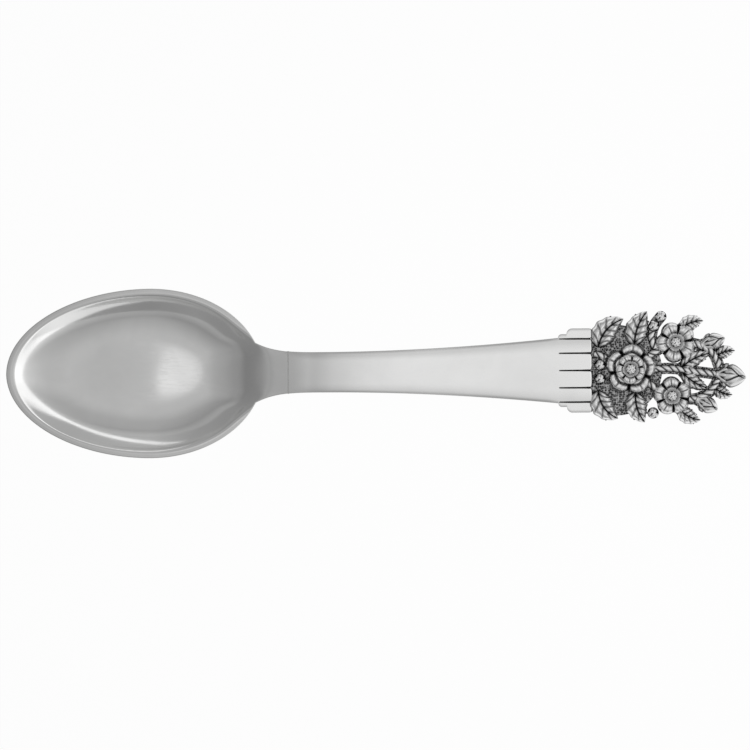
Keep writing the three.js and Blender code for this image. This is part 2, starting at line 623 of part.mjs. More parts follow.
// Everything on the handle's side of a line across the finial
const handleSide = (u) => boxSolid([-TOTAL_LENGTH, -TOTAL_LENGTH, -CUT_DEPTH], [u, TOTAL_LENGTH, CUT_DEPTH]);

// Later ornaments tuck under earlier ones: each is cut back from the flutes and from every prism before it.
function tucked(ornaments) {
  let taken = handleSide(ORNAMENT_GAP);
  return ornaments.map((ornament) => {
    const solid = largestBody(ornament.solid.subtract(taken));
    taken = taken.add(ornament.prism);
    return { ...ornament, solid };
  });
}

// Plate: the round ground, the lap under the handle and a pad behind each ornament, sawn as one sheet
function plateSolid(ornaments) {
  const lapHalf = LAP_HALF_WIDTH - LAP_CLEARANCE;
  const lap = boxSolid([LAP_CLEARANCE - LAP_LENGTH, -lapHalf, 0], [GROUND_CENTRE, lapHalf, PLATE_THICKNESS]);
  const ground = flatDisc([GROUND_CENTRE, 0], GROUND_STEPS, () => GROUND_RADIUS, PLATE_THICKNESS);
  const sheet = ornaments.reduce((sum, { pad }) => sum.add(pad), ground);
  return largestBody(sheet.subtract(handleSide(LAP_CLEARANCE)).add(lap));
}

// What is soldered on a flower's seat: a second ring of petals, where it has one, and a bead
function flowerCentre({ name, at, turn, innerRadius }) {
  const beadSeat = BEAD_RADIUS + ORNAMENT_GAP;
  const pieces = [];
  let seat = PETAL_SEAT;
  if (innerRadius) {
    const outline = petalOutline(innerRadius, turn + Math.PI / PETAL_COUNT, beadSeat);
    const inner = petalSolid(at, outline, beadSeat, INNER_PETAL_SEAT, INNER_PETAL_HEIGHT, seat);
    pieces.push(named(`${name}_inner_petals`, geometryFrom(inner), castSilver()));
    seat += INNER_PETAL_SEAT;
  }
  const bead = domeSolid(at, BEAD_RADIUS, BEAD_HEIGHT, seat);
  pieces.push(named(`${name}_bead`, geometryFrom(bead), castSilver()));
  return pieces;
}

function finialGroup() {
  const ornaments = tucked([
    ...FLOWERS.map(flowerOrnament),
    ...BUDS.map(calyxOrnament),
    ...BUDS.map(budOrnament),
    ...BERRIES.map(berryOrnament),
    ...STEMS.map(stemOrnament),
    ...LEAVES.map(leafOrnament),
  ]);
  const finial = new THREE.Group();
  finial.position.x = COLLAR_X;
  finial.add(named("finial_plate", geometryFrom(plateSolid(ornaments)), oxidisedSilver()));
  const applied = new THREE.Group();
  applied.position.z = PLATE_THICKNESS;
  for (const { name, solid } of ornaments) applied.add(named(name, geometryFrom(solid), castSilver()));
  for (const flower of FLOWERS) applied.add(...flowerCentre(flower));
  finial.add(applied);
  return finial;
}

const spoon = new THREE.Group();
spoon.add(named("bowl", bowlGeometry(), polishedSilver()));
spoon.add(named("neck_solder_seam", seamGeometry(), solderSilver()));
spoon.add(named("handle", handleGeometry(), polishedSilver()));
spoon.add(finialGroup());

export default spoon;
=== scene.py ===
"""Youth spoon in silver: a bowl soldered to a tapering handle, with an openwork finial of flowers and leaves.

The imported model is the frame. A finer piece in the same place stands for each of its nodes, shaped from a
primitive and dressed in procedural silver. Sizes in the classes are millimetres, and meshes are metres.
"""

import logging
import math
from dataclasses import dataclass
from enum import Enum

import bpy
import numpy as np
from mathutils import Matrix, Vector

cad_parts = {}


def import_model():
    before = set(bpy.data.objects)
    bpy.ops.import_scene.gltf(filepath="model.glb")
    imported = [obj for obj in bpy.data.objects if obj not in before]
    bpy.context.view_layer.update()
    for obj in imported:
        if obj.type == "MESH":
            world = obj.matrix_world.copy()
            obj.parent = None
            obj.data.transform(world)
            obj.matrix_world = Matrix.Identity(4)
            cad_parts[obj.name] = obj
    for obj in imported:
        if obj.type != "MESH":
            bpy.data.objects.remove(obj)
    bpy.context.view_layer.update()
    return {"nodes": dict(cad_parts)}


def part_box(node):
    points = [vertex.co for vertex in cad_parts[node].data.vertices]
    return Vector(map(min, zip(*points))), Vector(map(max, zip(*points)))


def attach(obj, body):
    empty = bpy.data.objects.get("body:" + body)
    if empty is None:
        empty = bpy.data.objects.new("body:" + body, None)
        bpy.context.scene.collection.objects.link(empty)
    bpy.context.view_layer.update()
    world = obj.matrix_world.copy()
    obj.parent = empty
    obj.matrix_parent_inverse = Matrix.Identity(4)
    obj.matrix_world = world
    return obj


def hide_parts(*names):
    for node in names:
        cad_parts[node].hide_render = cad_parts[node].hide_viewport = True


LOG = logging.getLogger("spoon")
MM = 0.001
BODY = "root"
# This attribute holds oxide and painted shade: oxide in grooves and hollows, painted shadow between the
# finial's forms, and painted shade along the handle's edges
OXIDE_AND_SHADE = "oxide_and_shade"
MERGE_DISTANCE = 1e-6  # metres
SLIVER_LENGTH = 1e-7  # metres
SKIN = 0.02  # how far the dressed front and back lie inside the frame's, in millimetres
ELLIPSE_POWER = 2.0
BODY_CREASE = 50.0  # degrees that an edge bends before it shows as sharp
RELIEF_CREASE = 45.0
PLATE_CREASE = 30.0

Array = np.ndarray
Colour = tuple[float, float, float, float]
Pair = tuple[float, float]
Piece = bpy.types.Object
Socket = bpy.types.NodeSocket
Stops = tuple[Pair, ...]
GroupFound = tuple[bpy.types.NodeTree, bool]


class Slot(Enum):
    """The record's material slots."""

    POLISHED = "polished_silver"
    SOLDER = "solder"
    CAST = "cast_silver"
    OXIDISED = "oxidised_silver"


def mix(start: float | Array, end: float | Array, share: float | Array) -> float | Array:
    """Return the value a share of the way from start to end."""
    return start + (end - start) * share


def ease(share: float | Array) -> Array:
    """Return a share from 0 to 1 with a soft start and a soft end."""
    held = np.clip(share, 0.0, 1.0)
    return held**3 * (held * (6.0 * held - 15.0) + 10.0)


def fade(value: Array, start: float, length: float) -> Array:
    """Return 0 up to a start and 1 past a further length, eased between."""
    return ease((value - start) / length)


def smooth_max(first: Array, second: Array, soft: float | Array) -> Array:
    """Return the larger of two values, rounded over where they are closer than soft."""
    return np.maximum(first, second) + np.maximum(soft - np.abs(first - second), 0.0) ** 2 / (4.0 * soft)


def smooth_min(first: Array, second: Array, soft: float | Array) -> Array:
    """Return the smaller of two values, rounded over where they are closer than soft."""
    return -smooth_max(-first, -second, soft)


def quarter_round(distance: Array, radius: float) -> Array:
    """Return how far a quarter circle of this radius has risen at a distance from its start."""
    held = np.clip(distance, 0.0, radius)
    return np.sqrt(radius**2 - (radius - held) ** 2)


def line_mark(offset: Array, width: float | Array) -> Array:
    """Return 1 on a line and 0 away from it, for an offset from the line and the line's width."""
    return np.exp(-((offset / width) ** 2))


def half_round(share: Array) -> Array:
    """Return the height of a half circle at a share of its radius."""
    return np.sqrt(np.maximum(0.0, 1.0 - share**2))


def box_mm(node: str) -> tuple[Array, Array]:
    """Return the lowest and highest corners of a node of the frame, in millimetres."""
    low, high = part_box(node)
    return np.array(low) / MM, np.array(high) / MM


def close_and_face_out(piece: Piece, crease_degrees: float) -> None:
    """Merge a piece's seams and poles, turn its faces outwards and shade it smooth up to a crease.

    Args:
        piece: The mesh object.
        crease_degrees: Edges that bend more than this stay sharp.
    """
    bpy.ops.object.select_all(action="DESELECT")
    piece.select_set(True)
    bpy.context.view_layer.objects.active = piece
    bpy.ops.object.mode_set(mode="EDIT")
    bpy.ops.mesh.select_all(action="SELECT")
    bpy.ops.mesh.remove_doubles(threshold=MERGE_DISTANCE)
    bpy.ops.mesh.dissolve_degenerate(threshold=SLIVER_LENGTH)
    bpy.ops.mesh.normals_make_consistent(inside=False)
    bpy.ops.object.mode_set(mode="OBJECT")
    bpy.ops.object.shade_smooth_by_angle(angle=math.radians(crease_degrees))


def wrapped(name: str, points: Array, oxide_and_shade: Array, crease_degrees: float) -> Piece:
    """Wrap a plane grid over rows of points and close it.

    Args:
        name: The new piece's name.
        points: Places in millimetres, by row, place in the row and axis.
        oxide_and_shade: How dark the metal is at each of the points, from 0 to 1.
        crease_degrees: Edges that bend more than this stay sharp.

    Returns:
        The closed piece.
    """
    rows, columns = points.shape[:2]
    bpy.ops.object.select_all(action="DESELECT")
    bpy.ops.mesh.primitive_grid_add(x_subdivisions=columns - 1, y_subdivisions=rows - 1, size=2.0)
    piece = bpy.context.object
    piece.name = name
    mesh = piece.data
    mesh.name = name
    flat = np.empty(len(mesh.vertices) * 3, dtype=np.float32)
    mesh.vertices.foreach_get("co", flat)
    plane = (flat.reshape(-1, 3) + 1.0) / 2.0
    column = np.rint(plane[:, 0] * (columns - 1)).astype(int)
    row = np.rint(plane[:, 1] * (rows - 1)).astype(int)
    mesh.vertices.foreach_set("co", (points[row, column] * MM).astype(np.float32).ravel())
    layer = mesh.attributes.new(OXIDE_AND_SHADE, "FLOAT", "POINT")
    layer.data.foreach_set("value", np.clip(oxide_and_shade[row, column], 0.0, 1.0).astype(np.float32))
    mesh.update()
    close_and_face_out(piece, crease_degrees)
    return piece


def settle(piece: Piece, node: str, finish: "Finish") -> Piece:
    """Dress a piece, let it ride on the spoon's one body and let it stand for a node of the frame.

    Args:
        piece: The mesh object.
        node: The frame's node that it replaces.
        finish: The finish that it takes.

    Returns:
        The same piece.
    """
    piece.data.materials.clear()
    piece.data.materials.append(finish.material())
    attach(piece, BODY)
    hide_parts(node)
    LOG.info("%s: %d faces, %s", piece.name, len(piece.data.polygons), finish.slot.value)
    return piece


@dataclass(frozen=True)
class Lines:
    """The spoon's long lines: heights, thicknesses and half widths along it."""

    tip_x: float
    seam_x: float
    handle_x: float
    collar_x: float
    bowl_half: float
    tip_reach: float = 29.2
    heel_ellipse: float = 22.8
    tip_power: float = 1.95
    heel_half: float = 6.1
    waist_half: float = 4.1
    waist_reach: float = 9.0
    neck_power: int = 4
    flare_half: float = 6.65
    flare_power: float = 1.8
    small_step: float = 0.75
    large_step: float = 1.15
    large_step_share: float = 0.25
    flute_length: float = 6.9
    rim_height: float = 6.1
    arch_height: float = 10.9
    end_thickness: float = 2.2
    rim_width: float = 1.25
    rim_thickness: float = 1.5
    inner_depth: float = 5.0
    floor_tilt: float = 0.005
    neck_thickness: float = 3.4
    neck_edge: float = 1.8
    belly_power: int = 4
    crown: float = 0.5
    crown_power: int = 4
    bevel_width: float = 0.7
    bevel_soft: float = 0.25
    bevel_fade: float = 2.0
    edge_slope: float = 0.47
    fullness: float = 4.0
    back_fullness: float = 3.6
    rim_soft: float = 0.5
    back_rim_soft: float = 0.125
    heel_soft: float = 1.6
    back_soft: float = 2.5
    run_out_core: float = 2.5
    run_out_fade: float = 8.5
    run_out_reach: float = 2.0
    ramp_slope: float = 0.5
    ramp_reach: float = 22.9
    ramp_soft: float = 1.1
    rise_start: float = 16.0
    rise_length: float = 22.0
    fall_start: float = 4.0

    @classmethod
    def from_frame(cls) -> "Lines":
        """Return the lines with their ends where the frame's bowl and handle have theirs.

        Returns:
            The lines.
        """
        bowl_low, bowl_high = box_mm("bowl")
        handle_low, handle_high = box_mm("handle")
        return cls(bowl_low[0], bowl_high[0], handle_low[0], handle_high[0], bowl_high[1])

    @property
    def widest_x(self) -> float:
        """Return where the bowl is widest."""
        return self.tip_x + self.tip_reach

    @property
    def heel_reach(self) -> float:
        """Return the distance from the bowl's widest place to its heel."""
        return self.heel_ellipse * math.sqrt(1.0 - (self.heel_half / self.bowl_half) ** 2)

    @property
    def heel_x(self) -> float:
        """Return where the neck leaves the bowl."""
        return self.widest_x + self.heel_reach

    @property
    def waist_x(self) -> float:
        """Return where the handle is narrowest."""
        return self.seam_x + self.waist_reach

    @property
    def flute_x(self) -> float:
        """Return where the grooves of the handle's end begin."""
        return self.collar_x - self.flute_length

    @property
    def large_step_x(self) -> float:
        """Return where the second shoulder begins."""
        return self.flute_x + self.flute_length * self.large_step_share

    def front_height(self, x: Array) -> Array:
        """Return the height of the front's middle line, or of the rim's plane along the bowl.

        Args:
            x: Places along the spoon.

        Returns:
            The heights.
        """
        rise = ease((x - self.widest_x - self.rise_start) / self.rise_length)
        fall_x = self.seam_x + self.fall_start
        fall = fade(x, fall_x, self.flute_x - fall_x)
        arch = (self.arch_height - self.rim_height) * rise
        return self.rim_height - SKIN + arch - (self.arch_height - self.end_thickness) * fall

    def along_handle(self, x: Array) -> Array:
        """Return how far a place is on the way from the seam to the grooves, eased."""
        return fade(x, self.seam_x, self.flute_x - self.seam_x)

    def thickness(self, x: Array) -> Array:
        """Return the thickness along the middle line."""
        return mix(self.neck_thickness, self.end_thickness, self.along_handle(x)) - SKIN

    def edge_thickness(self, x: Array) -> Array:
        """Return the thickness along the edges.

        Args:
            x: Places along the spoon.

        Returns:
            The thicknesses.
        """
        towards_seam = fade(x, self.widest_x, self.seam_x - self.widest_x)
        at_neck = mix(self.rim_thickness, self.neck_edge, towards_seam)
        return mix(at_neck, self.end_thickness, self.along_handle(x)) - SKIN

    def half_width(self, x: Array) -> Array:
        """Return the half width of the neck and handle without the shoulders at its end.

        Args:
            x: Places along the spoon.

        Returns:
            The half widths.
        """
        back = np.clip((self.waist_x - x) / (self.waist_x - self.heel_x), 0.0, 1.0)
        on = np.clip((x - self.waist_x) / (self.flute_x - self.waist_x), 0.0, 1.0)
        neck = (self.heel_half - self.waist_half) * back**self.neck_power
        flare = (self.flare_half - self.waist_half) * on**self.flare_power
        return self.waist_half + (neck + flare)

    def shouldered_half_width(self, x: Array) -> Array:
        """Return the half width with the two shoulders beside the grooves."""
        small = quarter_round(x - self.flute_x, self.small_step)
        return self.half_width(x) + small + quarter_round(x - self.large_step_x, self.large_step)

    def across_share(self, x: Array, y: Array) -> Array:
        """Return how far a place is from the middle line, as a share of the half width."""
        return np.minimum(1.0, np.abs(y) / self.half_width(x))

    def bowl_share(self, x: Array, y: Array, inset: float, run_out: float | Array = 0.0) -> Array:
        """Return how far a place is from the bowl's middle, as a share of the way to an edge set in.

        Args:
            x: Places along the spoon.
            y: Places across it.
            inset: How far the edge is set in from the outline.
            run_out: How much further it reaches at the heel.

        Returns:
            The shares.
        """
        ahead = x < self.widest_x
        reach = np.where(ahead, self.tip_reach, self.heel_ellipse + run_out) - inset
        power = np.where(ahead, self.tip_power, ELLIPSE_POWER)
        along = np.abs(x - self.widest_x) / reach
        across = np.abs(y) / (self.bowl_half - inset)
        return (along**power + across**power) ** (1.0 / power)

    def towards_heel(self, x: Array) -> Array:
        """Return how far a place is on the way from the bowl's widest place to its heel, eased."""
        return fade(x, self.widest_x, self.heel_reach)

    def crown_fall(self, x: Array, y: Array) -> Array:
        """Return how far the crowned and bevelled front lies below its middle line.

        Args:
            x: Places along the spoon.
            y: Places across it.

        Returns:
            The depths.
        """
        grown = fade(x, self.heel_x, self.waist_x - self.heel_x)
        share = self.across_share(x, y)
        half = self.half_width(x)
        past = (share - 1.0) * half + self.bevel_width
        steeper = np.maximum(0.0, self.edge_slope - self.crown_power * self.crown / half)
        bevel = steeper * smooth_max(np.zeros_like(past), past, self.bevel_soft)
        kept = 1.0 - ease((x - self.flute_x + self.bevel_fade) / self.bevel_fade)
        return grown * (self.crown * share**self.crown_power + bevel * kept)

    def front(self, x: Array, y: Array) -> Array:
        """Return the height of the front, with the bowl's hollow and the ramp out of it.

        Args:
            x: Places along the spoon.
            y: Places across it.

        Returns:
            The heights.
        """
        deep = self.inner_depth + self.floor_tilt * (x - self.widest_x)
        middle = 1.0 - fade(np.abs(y), self.run_out_core, self.run_out_fade)
        share = self.bowl_share(x, y, self.rim_width, self.run_out_reach * middle)
        bowl = deep * (1.0 - share**self.fullness)
        ramp = self.ramp_slope * (self.widest_x + self.ramp_reach - x)
        hollow = smooth_min(bowl, ramp, self.ramp_soft)
        soft = mix(self.rim_soft, self.heel_soft, self.towards_heel(x) * middle)
        return self.front_height(x) - smooth_max(np.zeros_like(hollow), hollow, soft) - self.crown_fall(x, y)

    def neck_back(self, x: Array, y: Array) -> Array:
        """Return the height of the back of the neck and handle.

        Args:
            x: Places along the spoon.
            y: Places across it.

        Returns:
            The heights.
        """
        belly = self.thickness(x) - self.edge_thickness(x)
        round_under = 1.0 - self.across_share(x, y) ** self.belly_power
        return self.front_height(x) - self.edge_thickness(x) - belly * round_under

    def back(self, x: Array, y: Array) -> Array:
        """Return the height of the back of the bowl and neck.

        Args:
            x: Places along the spoon.
            y: Places across it.

        Returns:
            The heights.
        """
        outer_depth = self.rim_height - self.rim_thickness
        dome = outer_depth * (1.0 - self.bowl_share(x, y, 0.0) ** self.back_fullness)
        bowl = self.front_height(x) + SKIN - self.rim_thickness - dome
        soft = mix(self.back_rim_soft, self.back_soft, self.towards_heel(x))
        return np.where(x < self.widest_x, bowl, smooth_min(bowl, self.neck_back(x, y), soft))


class NodeTree:
    """A small helper that adds nodes to a tree and links them."""

    mix_colours = (6, 7)  # where a Mix node has its two colours among its inputs
    mix_result = 2  # where it has the mixed colour among its outputs

    def __init__(self, tree: bpy.types.NodeTree) -> None:
        """Keep the tree and empty it."""
        self.tree = tree
        self.tree.nodes.clear()

    def add(self, kind: str, **settings: object) -> bpy.types.Node:
        """Add a node.

        Args:
            kind: The node's type name.
            settings: Its properties, and for the names of its inputs with _ for a space, their values.

        Returns:
            The new node.
        """
        node = self.tree.nodes.new(kind)
        for key, value in settings.items():
            if hasattr(node, key):
                setattr(node, key, value)
            else:
                node.inputs[key.replace("_", " ")].default_value = value
        return node

    def link(self, out_socket: Socket, in_socket: Socket) -> None:
        """Link an output to an input."""
        self.tree.links.new(out_socket, in_socket)

    def feed(self, in_socket: Socket, value: object) -> None:
        """Give an input a link or a plain value.

        Args:
            in_socket: The input.
            value: An output to link, or a number or colour.
        """
        if isinstance(value, Socket):
            self.link(value, in_socket)
        else:
            in_socket.default_value = value

    def math(self, operation: str, first: object, second: object, clamp: bool = False) -> Socket:
        """Add a Math node.

        Args:
            operation: What it works out.
            first: An output or a number.
            second: Likewise.
            clamp: Whether the result is held between 0 and 1.

        Returns:
            The node's output.
        """
        node = self.add("ShaderNodeMath", operation=operation, use_clamp=clamp)
        self.feed(node.inputs[0], first)
        self.feed(node.inputs[1], second)
        return node.outputs[0]

    def blend(self, share: object, first: object, second: object, mode: str = "MIX") -> Socket:
        """Add a Mix node for colours.

        Args:
            share: How much of the second shows, an output or a number.
            first: An output or a colour.
            second: Likewise.
            mode: How they are mixed.

        Returns:
            The node's output.
        """
        node = self.add("ShaderNodeMix", data_type="RGBA", blend_type=mode)
        self.feed(node.inputs["Factor"], share)
        for index, value in zip(self.mix_colours, (first, second)):
            self.feed(node.inputs[index], value)
        return node.outputs[self.mix_result]

    def ramp(self, share: Socket, stops: Stops) -> Socket:
        """Add a grey colour ramp and return its output.

        Args:
            share: The socket that drives it.
            stops: Places from 0 to 1, each with its grey.

        Returns:
            The ramp's colour.
        """
        node = self.add("ShaderNodeValToRGB")
        elements = node.color_ramp.elements
        while len(elements) < len(stops):
            elements.new(1.0)
        for element, (place, grey) in zip(elements, stops):
            element.position = place
            element.color = (grey, grey, grey, 1.0)
        self.link(share, node.inputs["Fac"])
        return node.outputs["Color"]

    def spread(self, value: Socket, low: float, high: float, start: float = 0.0, end: float = 1.0) -> Socket:
        """Add a Map Range node.

        Args:
            value: The output that it reads.
            low: The value that becomes the start.
            high: The value that becomes the end.
            start: The first result.
            end: The last result.

        Returns:
            The node's result.
        """
        node = self.add("ShaderNodeMapRange", From_Min=low, From_Max=high, To_Min=start, To_Max=end)
        self.link(value, node.inputs["Value"])
        return node.outputs["Result"]


def group_tree(name: str, inputs: list[tuple[str, str]], outputs: list[str]) -> GroupFound:
    """Find or make a shader node group with its sockets.

    Args:
        name: The group's name.
        inputs: Its inputs, each a name and a socket type.
        outputs: The names of its outputs, all values.

    Returns:
        The group and whether it is new.
    """
    found = bpy.data.node_groups.get(name)
    if found:
        return found, False
    tree = bpy.data.node_groups.new(name, "ShaderNodeTree")
    for label, kind in inputs:
        tree.interface.new_socket(name=label, in_out="INPUT", socket_type=kind)
    for label in outputs:
        tree.interface.new_socket(name=label, in_out="OUTPUT", socket_type="NodeSocketFloat")
    return tree, True


@dataclass(frozen=True)
class HandWear:
    """The node group for years of use: hairline scratches at three slants and soft smudges."""

    slants: tuple[float, ...] = (0.06, -0.5, 1.2)
    along: tuple[float, ...] = (130.0, 240.0, 300.0)
    across: tuple[float, ...] = (5200.0, 7400.0, 9000.0)
    upward_share: float = 0.2
    scratch_range: Pair = (0.6, 0.74)
    smudge_range: Pair = (0.32, 0.7)

    def tree(self) -> bpy.types.NodeTree:
        """Return the group, made at its first use.

        Returns:
            The group, with outputs Scratches and Smudges.
        """
        tree, is_new = group_tree("hand_wear", [("Vector", "NodeSocketVector")], ["Scratches", "Smudges"])
        if not is_new:
            return tree
        nodes = NodeTree(tree)
        place = nodes.add("NodeGroupInput").outputs["Vector"]
        leave = nodes.add("NodeGroupOutput")
        scratches = []
        for slant, along, across in zip(self.slants, self.along, self.across):
            cells = (along, across, across * self.upward_share)
            turned = nodes.add("ShaderNodeMapping", Rotation=(0.0, 0.0, slant), Scale=cells)
            nodes.link(place, turned.inputs["Vector"])
            noise = nodes.add("ShaderNodeTexNoise", Scale=1.0, Detail=2.0, Roughness=0.6)
            nodes.link(turned.outputs["Vector"], noise.inputs["Vector"])
            scratches.append(nodes.spread(noise.outputs["Fac"], *self.scratch_range))
        some = nodes.math("ADD", scratches[0], scratches[1])
        nodes.link(nodes.math("ADD", some, scratches[2], clamp=True), leave.inputs["Scratches"])
        cloud = nodes.add("ShaderNodeTexNoise", Scale=110.0, Detail=4.0, Roughness=0.55, Distortion=0.6)
        nodes.link(place, cloud.inputs["Vector"])
        nodes.link(nodes.spread(cloud.outputs["Fac"], *self.smudge_range), leave.inputs["Smudges"])
        return tree


@dataclass(frozen=True)
class RecessOxide:
    """The node group for the dark mask of oxide and painted shade: a mask from the tarnish attribute, broken
    up by grain.
    """

    grain_share: float = 0.6
    patch_share: float = 0.4
    even: float = 0.5
    pit_range: Pair = (0.35, 0.65)

    def tree(self) -> bpy.types.NodeTree:
        """Return the group, made at its first use.

        Returns:
            The group, with outputs Oxide and Pits.
        """
        numbers = [(name, "NodeSocketFloat") for name in ("OxideAndShadeLevel", "Grain")]
        inputs = [("Vector", "NodeSocketVector"), *numbers]
        tree, is_new = group_tree("recess_oxide_and_shade", inputs, ["Oxide", "Pits"])
        if not is_new:
            return tree
        nodes = NodeTree(tree)
        entry = nodes.add("NodeGroupInput")
        leave = nodes.add("NodeGroupOutput")
        grain = nodes.add("ShaderNodeTexNoise", Scale=2600.0, Detail=5.0, Roughness=0.65)
        patches = nodes.add("ShaderNodeTexNoise", Scale=520.0, Detail=3.0, Roughness=0.5)
        for noise in (grain, patches):
            nodes.link(entry.outputs["Vector"], noise.inputs["Vector"])
        fine = nodes.math("MULTIPLY", grain.outputs["Fac"], self.grain_share)
        coarse = nodes.math("MULTIPLY", patches.outputs["Fac"], self.patch_share)
        speck = nodes.math("SUBTRACT", nodes.math("ADD", fine, coarse), self.even)
        shift = nodes.math("MULTIPLY", speck, entry.outputs["Grain"])
        nodes.link(nodes.math("ADD", entry.outputs["OxideAndShadeLevel"], shift, clamp=True), leave.inputs["Oxide"])
        nodes.link(nodes.spread(grain.outputs["Fac"], *self.pit_range), leave.inputs["Pits"])
        return tree


class Finish:
    """A finish: a record slot and a procedural material made once."""

    slot: Slot
    title: str
    grain: float

    def material(self) -> bpy.types.Material:
        """Return the finish's material, made at its first use.

        Returns:
            The material.
        """
        found = bpy.data.materials.get(self.title)
        if found:
            return found
        made = bpy.data.materials.new(self.title)
        made.use_nodes = True
        nodes = NodeTree(made.node_tree)
        shader = nodes.add("ShaderNodeBsdfPrincipled", Metallic=1.0)
        output = nodes.add("ShaderNodeOutputMaterial")
        nodes.link(shader.outputs["BSDF"], output.inputs["Surface"])
        for name, socket in zip(("Base Color", "Roughness", "Normal"), self.paint(nodes)):
            nodes.link(socket, shader.inputs[name])
        return made

    def paint(self, nodes: NodeTree) -> tuple[Socket, Socket, Socket]:
        """Add the finish's own nodes and return its colour, roughness and normal."""
        raise NotImplementedError

    def object_place(self, nodes: NodeTree) -> Socket:
        """Add a Texture Coordinate node and return its Object output."""
        return nodes.add("ShaderNodeTexCoord").outputs["Object"]

    def wear(self, nodes: NodeTree, place: Socket) -> bpy.types.Node:
        """Add the hand wear group.

        Args:
            nodes: The material's nodes.
            place: The Object coordinates.

        Returns:
            The group node.
        """
        group = nodes.add("ShaderNodeGroup", node_tree=HandWear().tree())
        nodes.link(place, group.inputs["Vector"])
        return group

    def oxide(self, nodes: NodeTree, place: Socket) -> bpy.types.Node:
        """Add the group of oxide and painted shade on the tarnish attribute, with the finish's grain.

        Args:
            nodes: The material's nodes.
            place: The Object coordinates.

        Returns:
            The group node.
        """
        group = nodes.add("ShaderNodeGroup", node_tree=RecessOxide().tree())
        attribute = nodes.add("ShaderNodeAttribute", attribute_name=OXIDE_AND_SHADE)
        nodes.link(place, group.inputs["Vector"])
        nodes.link(attribute.outputs["Fac"], group.inputs["OxideAndShadeLevel"])
        group.inputs["Grain"].default_value = self.grain
        return group

    def bump(self, nodes: NodeTree, height: Socket, strength: float, depth: float) -> Socket:
        """Add a Bump node and return its normal.

        Args:
            nodes: The material's nodes.
            height: The height that it reads.
            strength: How strongly the normal follows it, from 0 to 1.
            depth: The depth of a height of 1, in millimetres.

        Returns:
            The bumped normal.
        """
        node = nodes.add("ShaderNodeBump", Strength=strength, Distance=depth * MM)
        nodes.link(height, node.inputs["Height"])
        return node.outputs["Normal"]


@dataclass(frozen=True)
class PolishedSilver(Finish):
    """Polished silver with hairline scratches, soft smudges, oxide in its grooves and painted shade along the
    handle's edges.
    """

    title: str = "polished silver"
    slot: Slot = Slot.POLISHED
    bright: Colour = (0.93, 0.93, 0.925, 1.0)
    dark: Colour = (0.02, 0.02, 0.021, 1.0)
    grain: float = 0.12
    smudge_shade: float = 0.95
    smooth: float = 0.07
    dull: float = 0.12
    oxide_rough: float = 0.3
    scratch_strength: float = 0.35
    scratch_depth: float = 0.004

    def paint(self, nodes: NodeTree) -> tuple[Socket, Socket, Socket]:
        """Add scratches to the normal, smudges to the roughness, and oxide and painted edge shade to the
        colour.

        Args:
            nodes: The material's nodes.

        Returns:
            The colour, the roughness and the normal.
        """
        place = self.object_place(nodes)
        wear = self.wear(nodes, place)
        oxide = self.oxide(nodes, place).outputs["Oxide"]
        shaded = (*(self.smudge_shade * level for level in self.bright[:3]), 1.0)
        # The oxide mask: real oxide in the grooves, and painted shade along the handle's edges
        colour = nodes.blend(oxide, nodes.blend(wear.outputs["Smudges"], self.bright, shaded), self.dark)
        rough = nodes.spread(wear.outputs["Smudges"], 0.0, 1.0, self.smooth, self.dull)
        rough = nodes.math("ADD", rough, nodes.math("MULTIPLY", oxide, self.oxide_rough))
        normal = self.bump(nodes, wear.outputs["Scratches"], self.scratch_strength, self.scratch_depth)
        return colour, rough, normal


@dataclass(frozen=True)
class SolderSilver(Finish):
    """The dull grey hairline of solder."""

    title: str = "silver solder"
    slot: Slot = Slot.SOLDER
    bright: Colour = (0.68, 0.68, 0.67, 1.0)
    dark: Colour = (0.5, 0.5, 0.49, 1.0)
    grain: float = 0.8
    rough_range: Pair = (0.3, 0.5)
    pit_strength: float = 0.4
    pit_depth: float = 0.01

    def paint(self, nodes: NodeTree) -> tuple[Socket, Socket, Socket]:
        """Add grain to the colour, the roughness and the normal.

        Args:
            nodes: The material's nodes.

        Returns:
            The colour, the roughness and the normal.
        """
        oxide = self.oxide(nodes, self.object_place(nodes))
        pits = oxide.outputs["Pits"]
        colour = nodes.blend(oxide.outputs["Oxide"], self.bright, self.dark)
        rough = nodes.spread(pits, 0.0, 1.0, *self.rough_range)
        return colour, rough, self.bump(nodes, pits, self.pit_strength, self.pit_depth)


@dataclass(frozen=True)
class CastSilver(Finish):
    """Cast silver, worn bright on its high spots and black in its recesses, with oxide there and painted
    shadow between the forms.
    """

    title: str = "cast silver"
    slot: Slot = Slot.CAST
    bright: Colour = (0.86, 0.86, 0.86, 1.0)
    dark: Colour = (0.012, 0.012, 0.013, 1.0)
    grain: float = 0.3
    depth: float = 1.2
    rough_range: Pair = (0.24, 0.55)
    smudge_rough: float = 0.05
    pit_strength: float = 0.35
    pit_depth: float = 0.012

    def paint(self, nodes: NodeTree) -> tuple[Socket, Socket, Socket]:
        """Add oxide and painted shadow to the colour, that mask and smudges to the roughness, and pits to the
        normal.

        Args:
            nodes: The material's nodes.

        Returns:
            The colour, the roughness and the normal.
        """
        place = self.object_place(nodes)
        smudges = self.wear(nodes, place).outputs["Smudges"]
        oxide = self.oxide(nodes, place)
        # Partly oxide and partly painted shadow: the strengthened mask blackens the recesses between the
        # forms
        black = nodes.math("MULTIPLY", oxide.outputs["Oxide"], self.depth, clamp=True)
        rough = nodes.spread(oxide.outputs["Oxide"], 0.0, 1.0, *self.rough_range)
        rough = nodes.math("ADD", rough, nodes.math("MULTIPLY", smudges, self.smudge_rough))
        normal = self.bump(nodes, oxide.outputs["Pits"], self.pit_strength, self.pit_depth)
        return nodes.blend(black, self.bright, self.dark), rough, normal


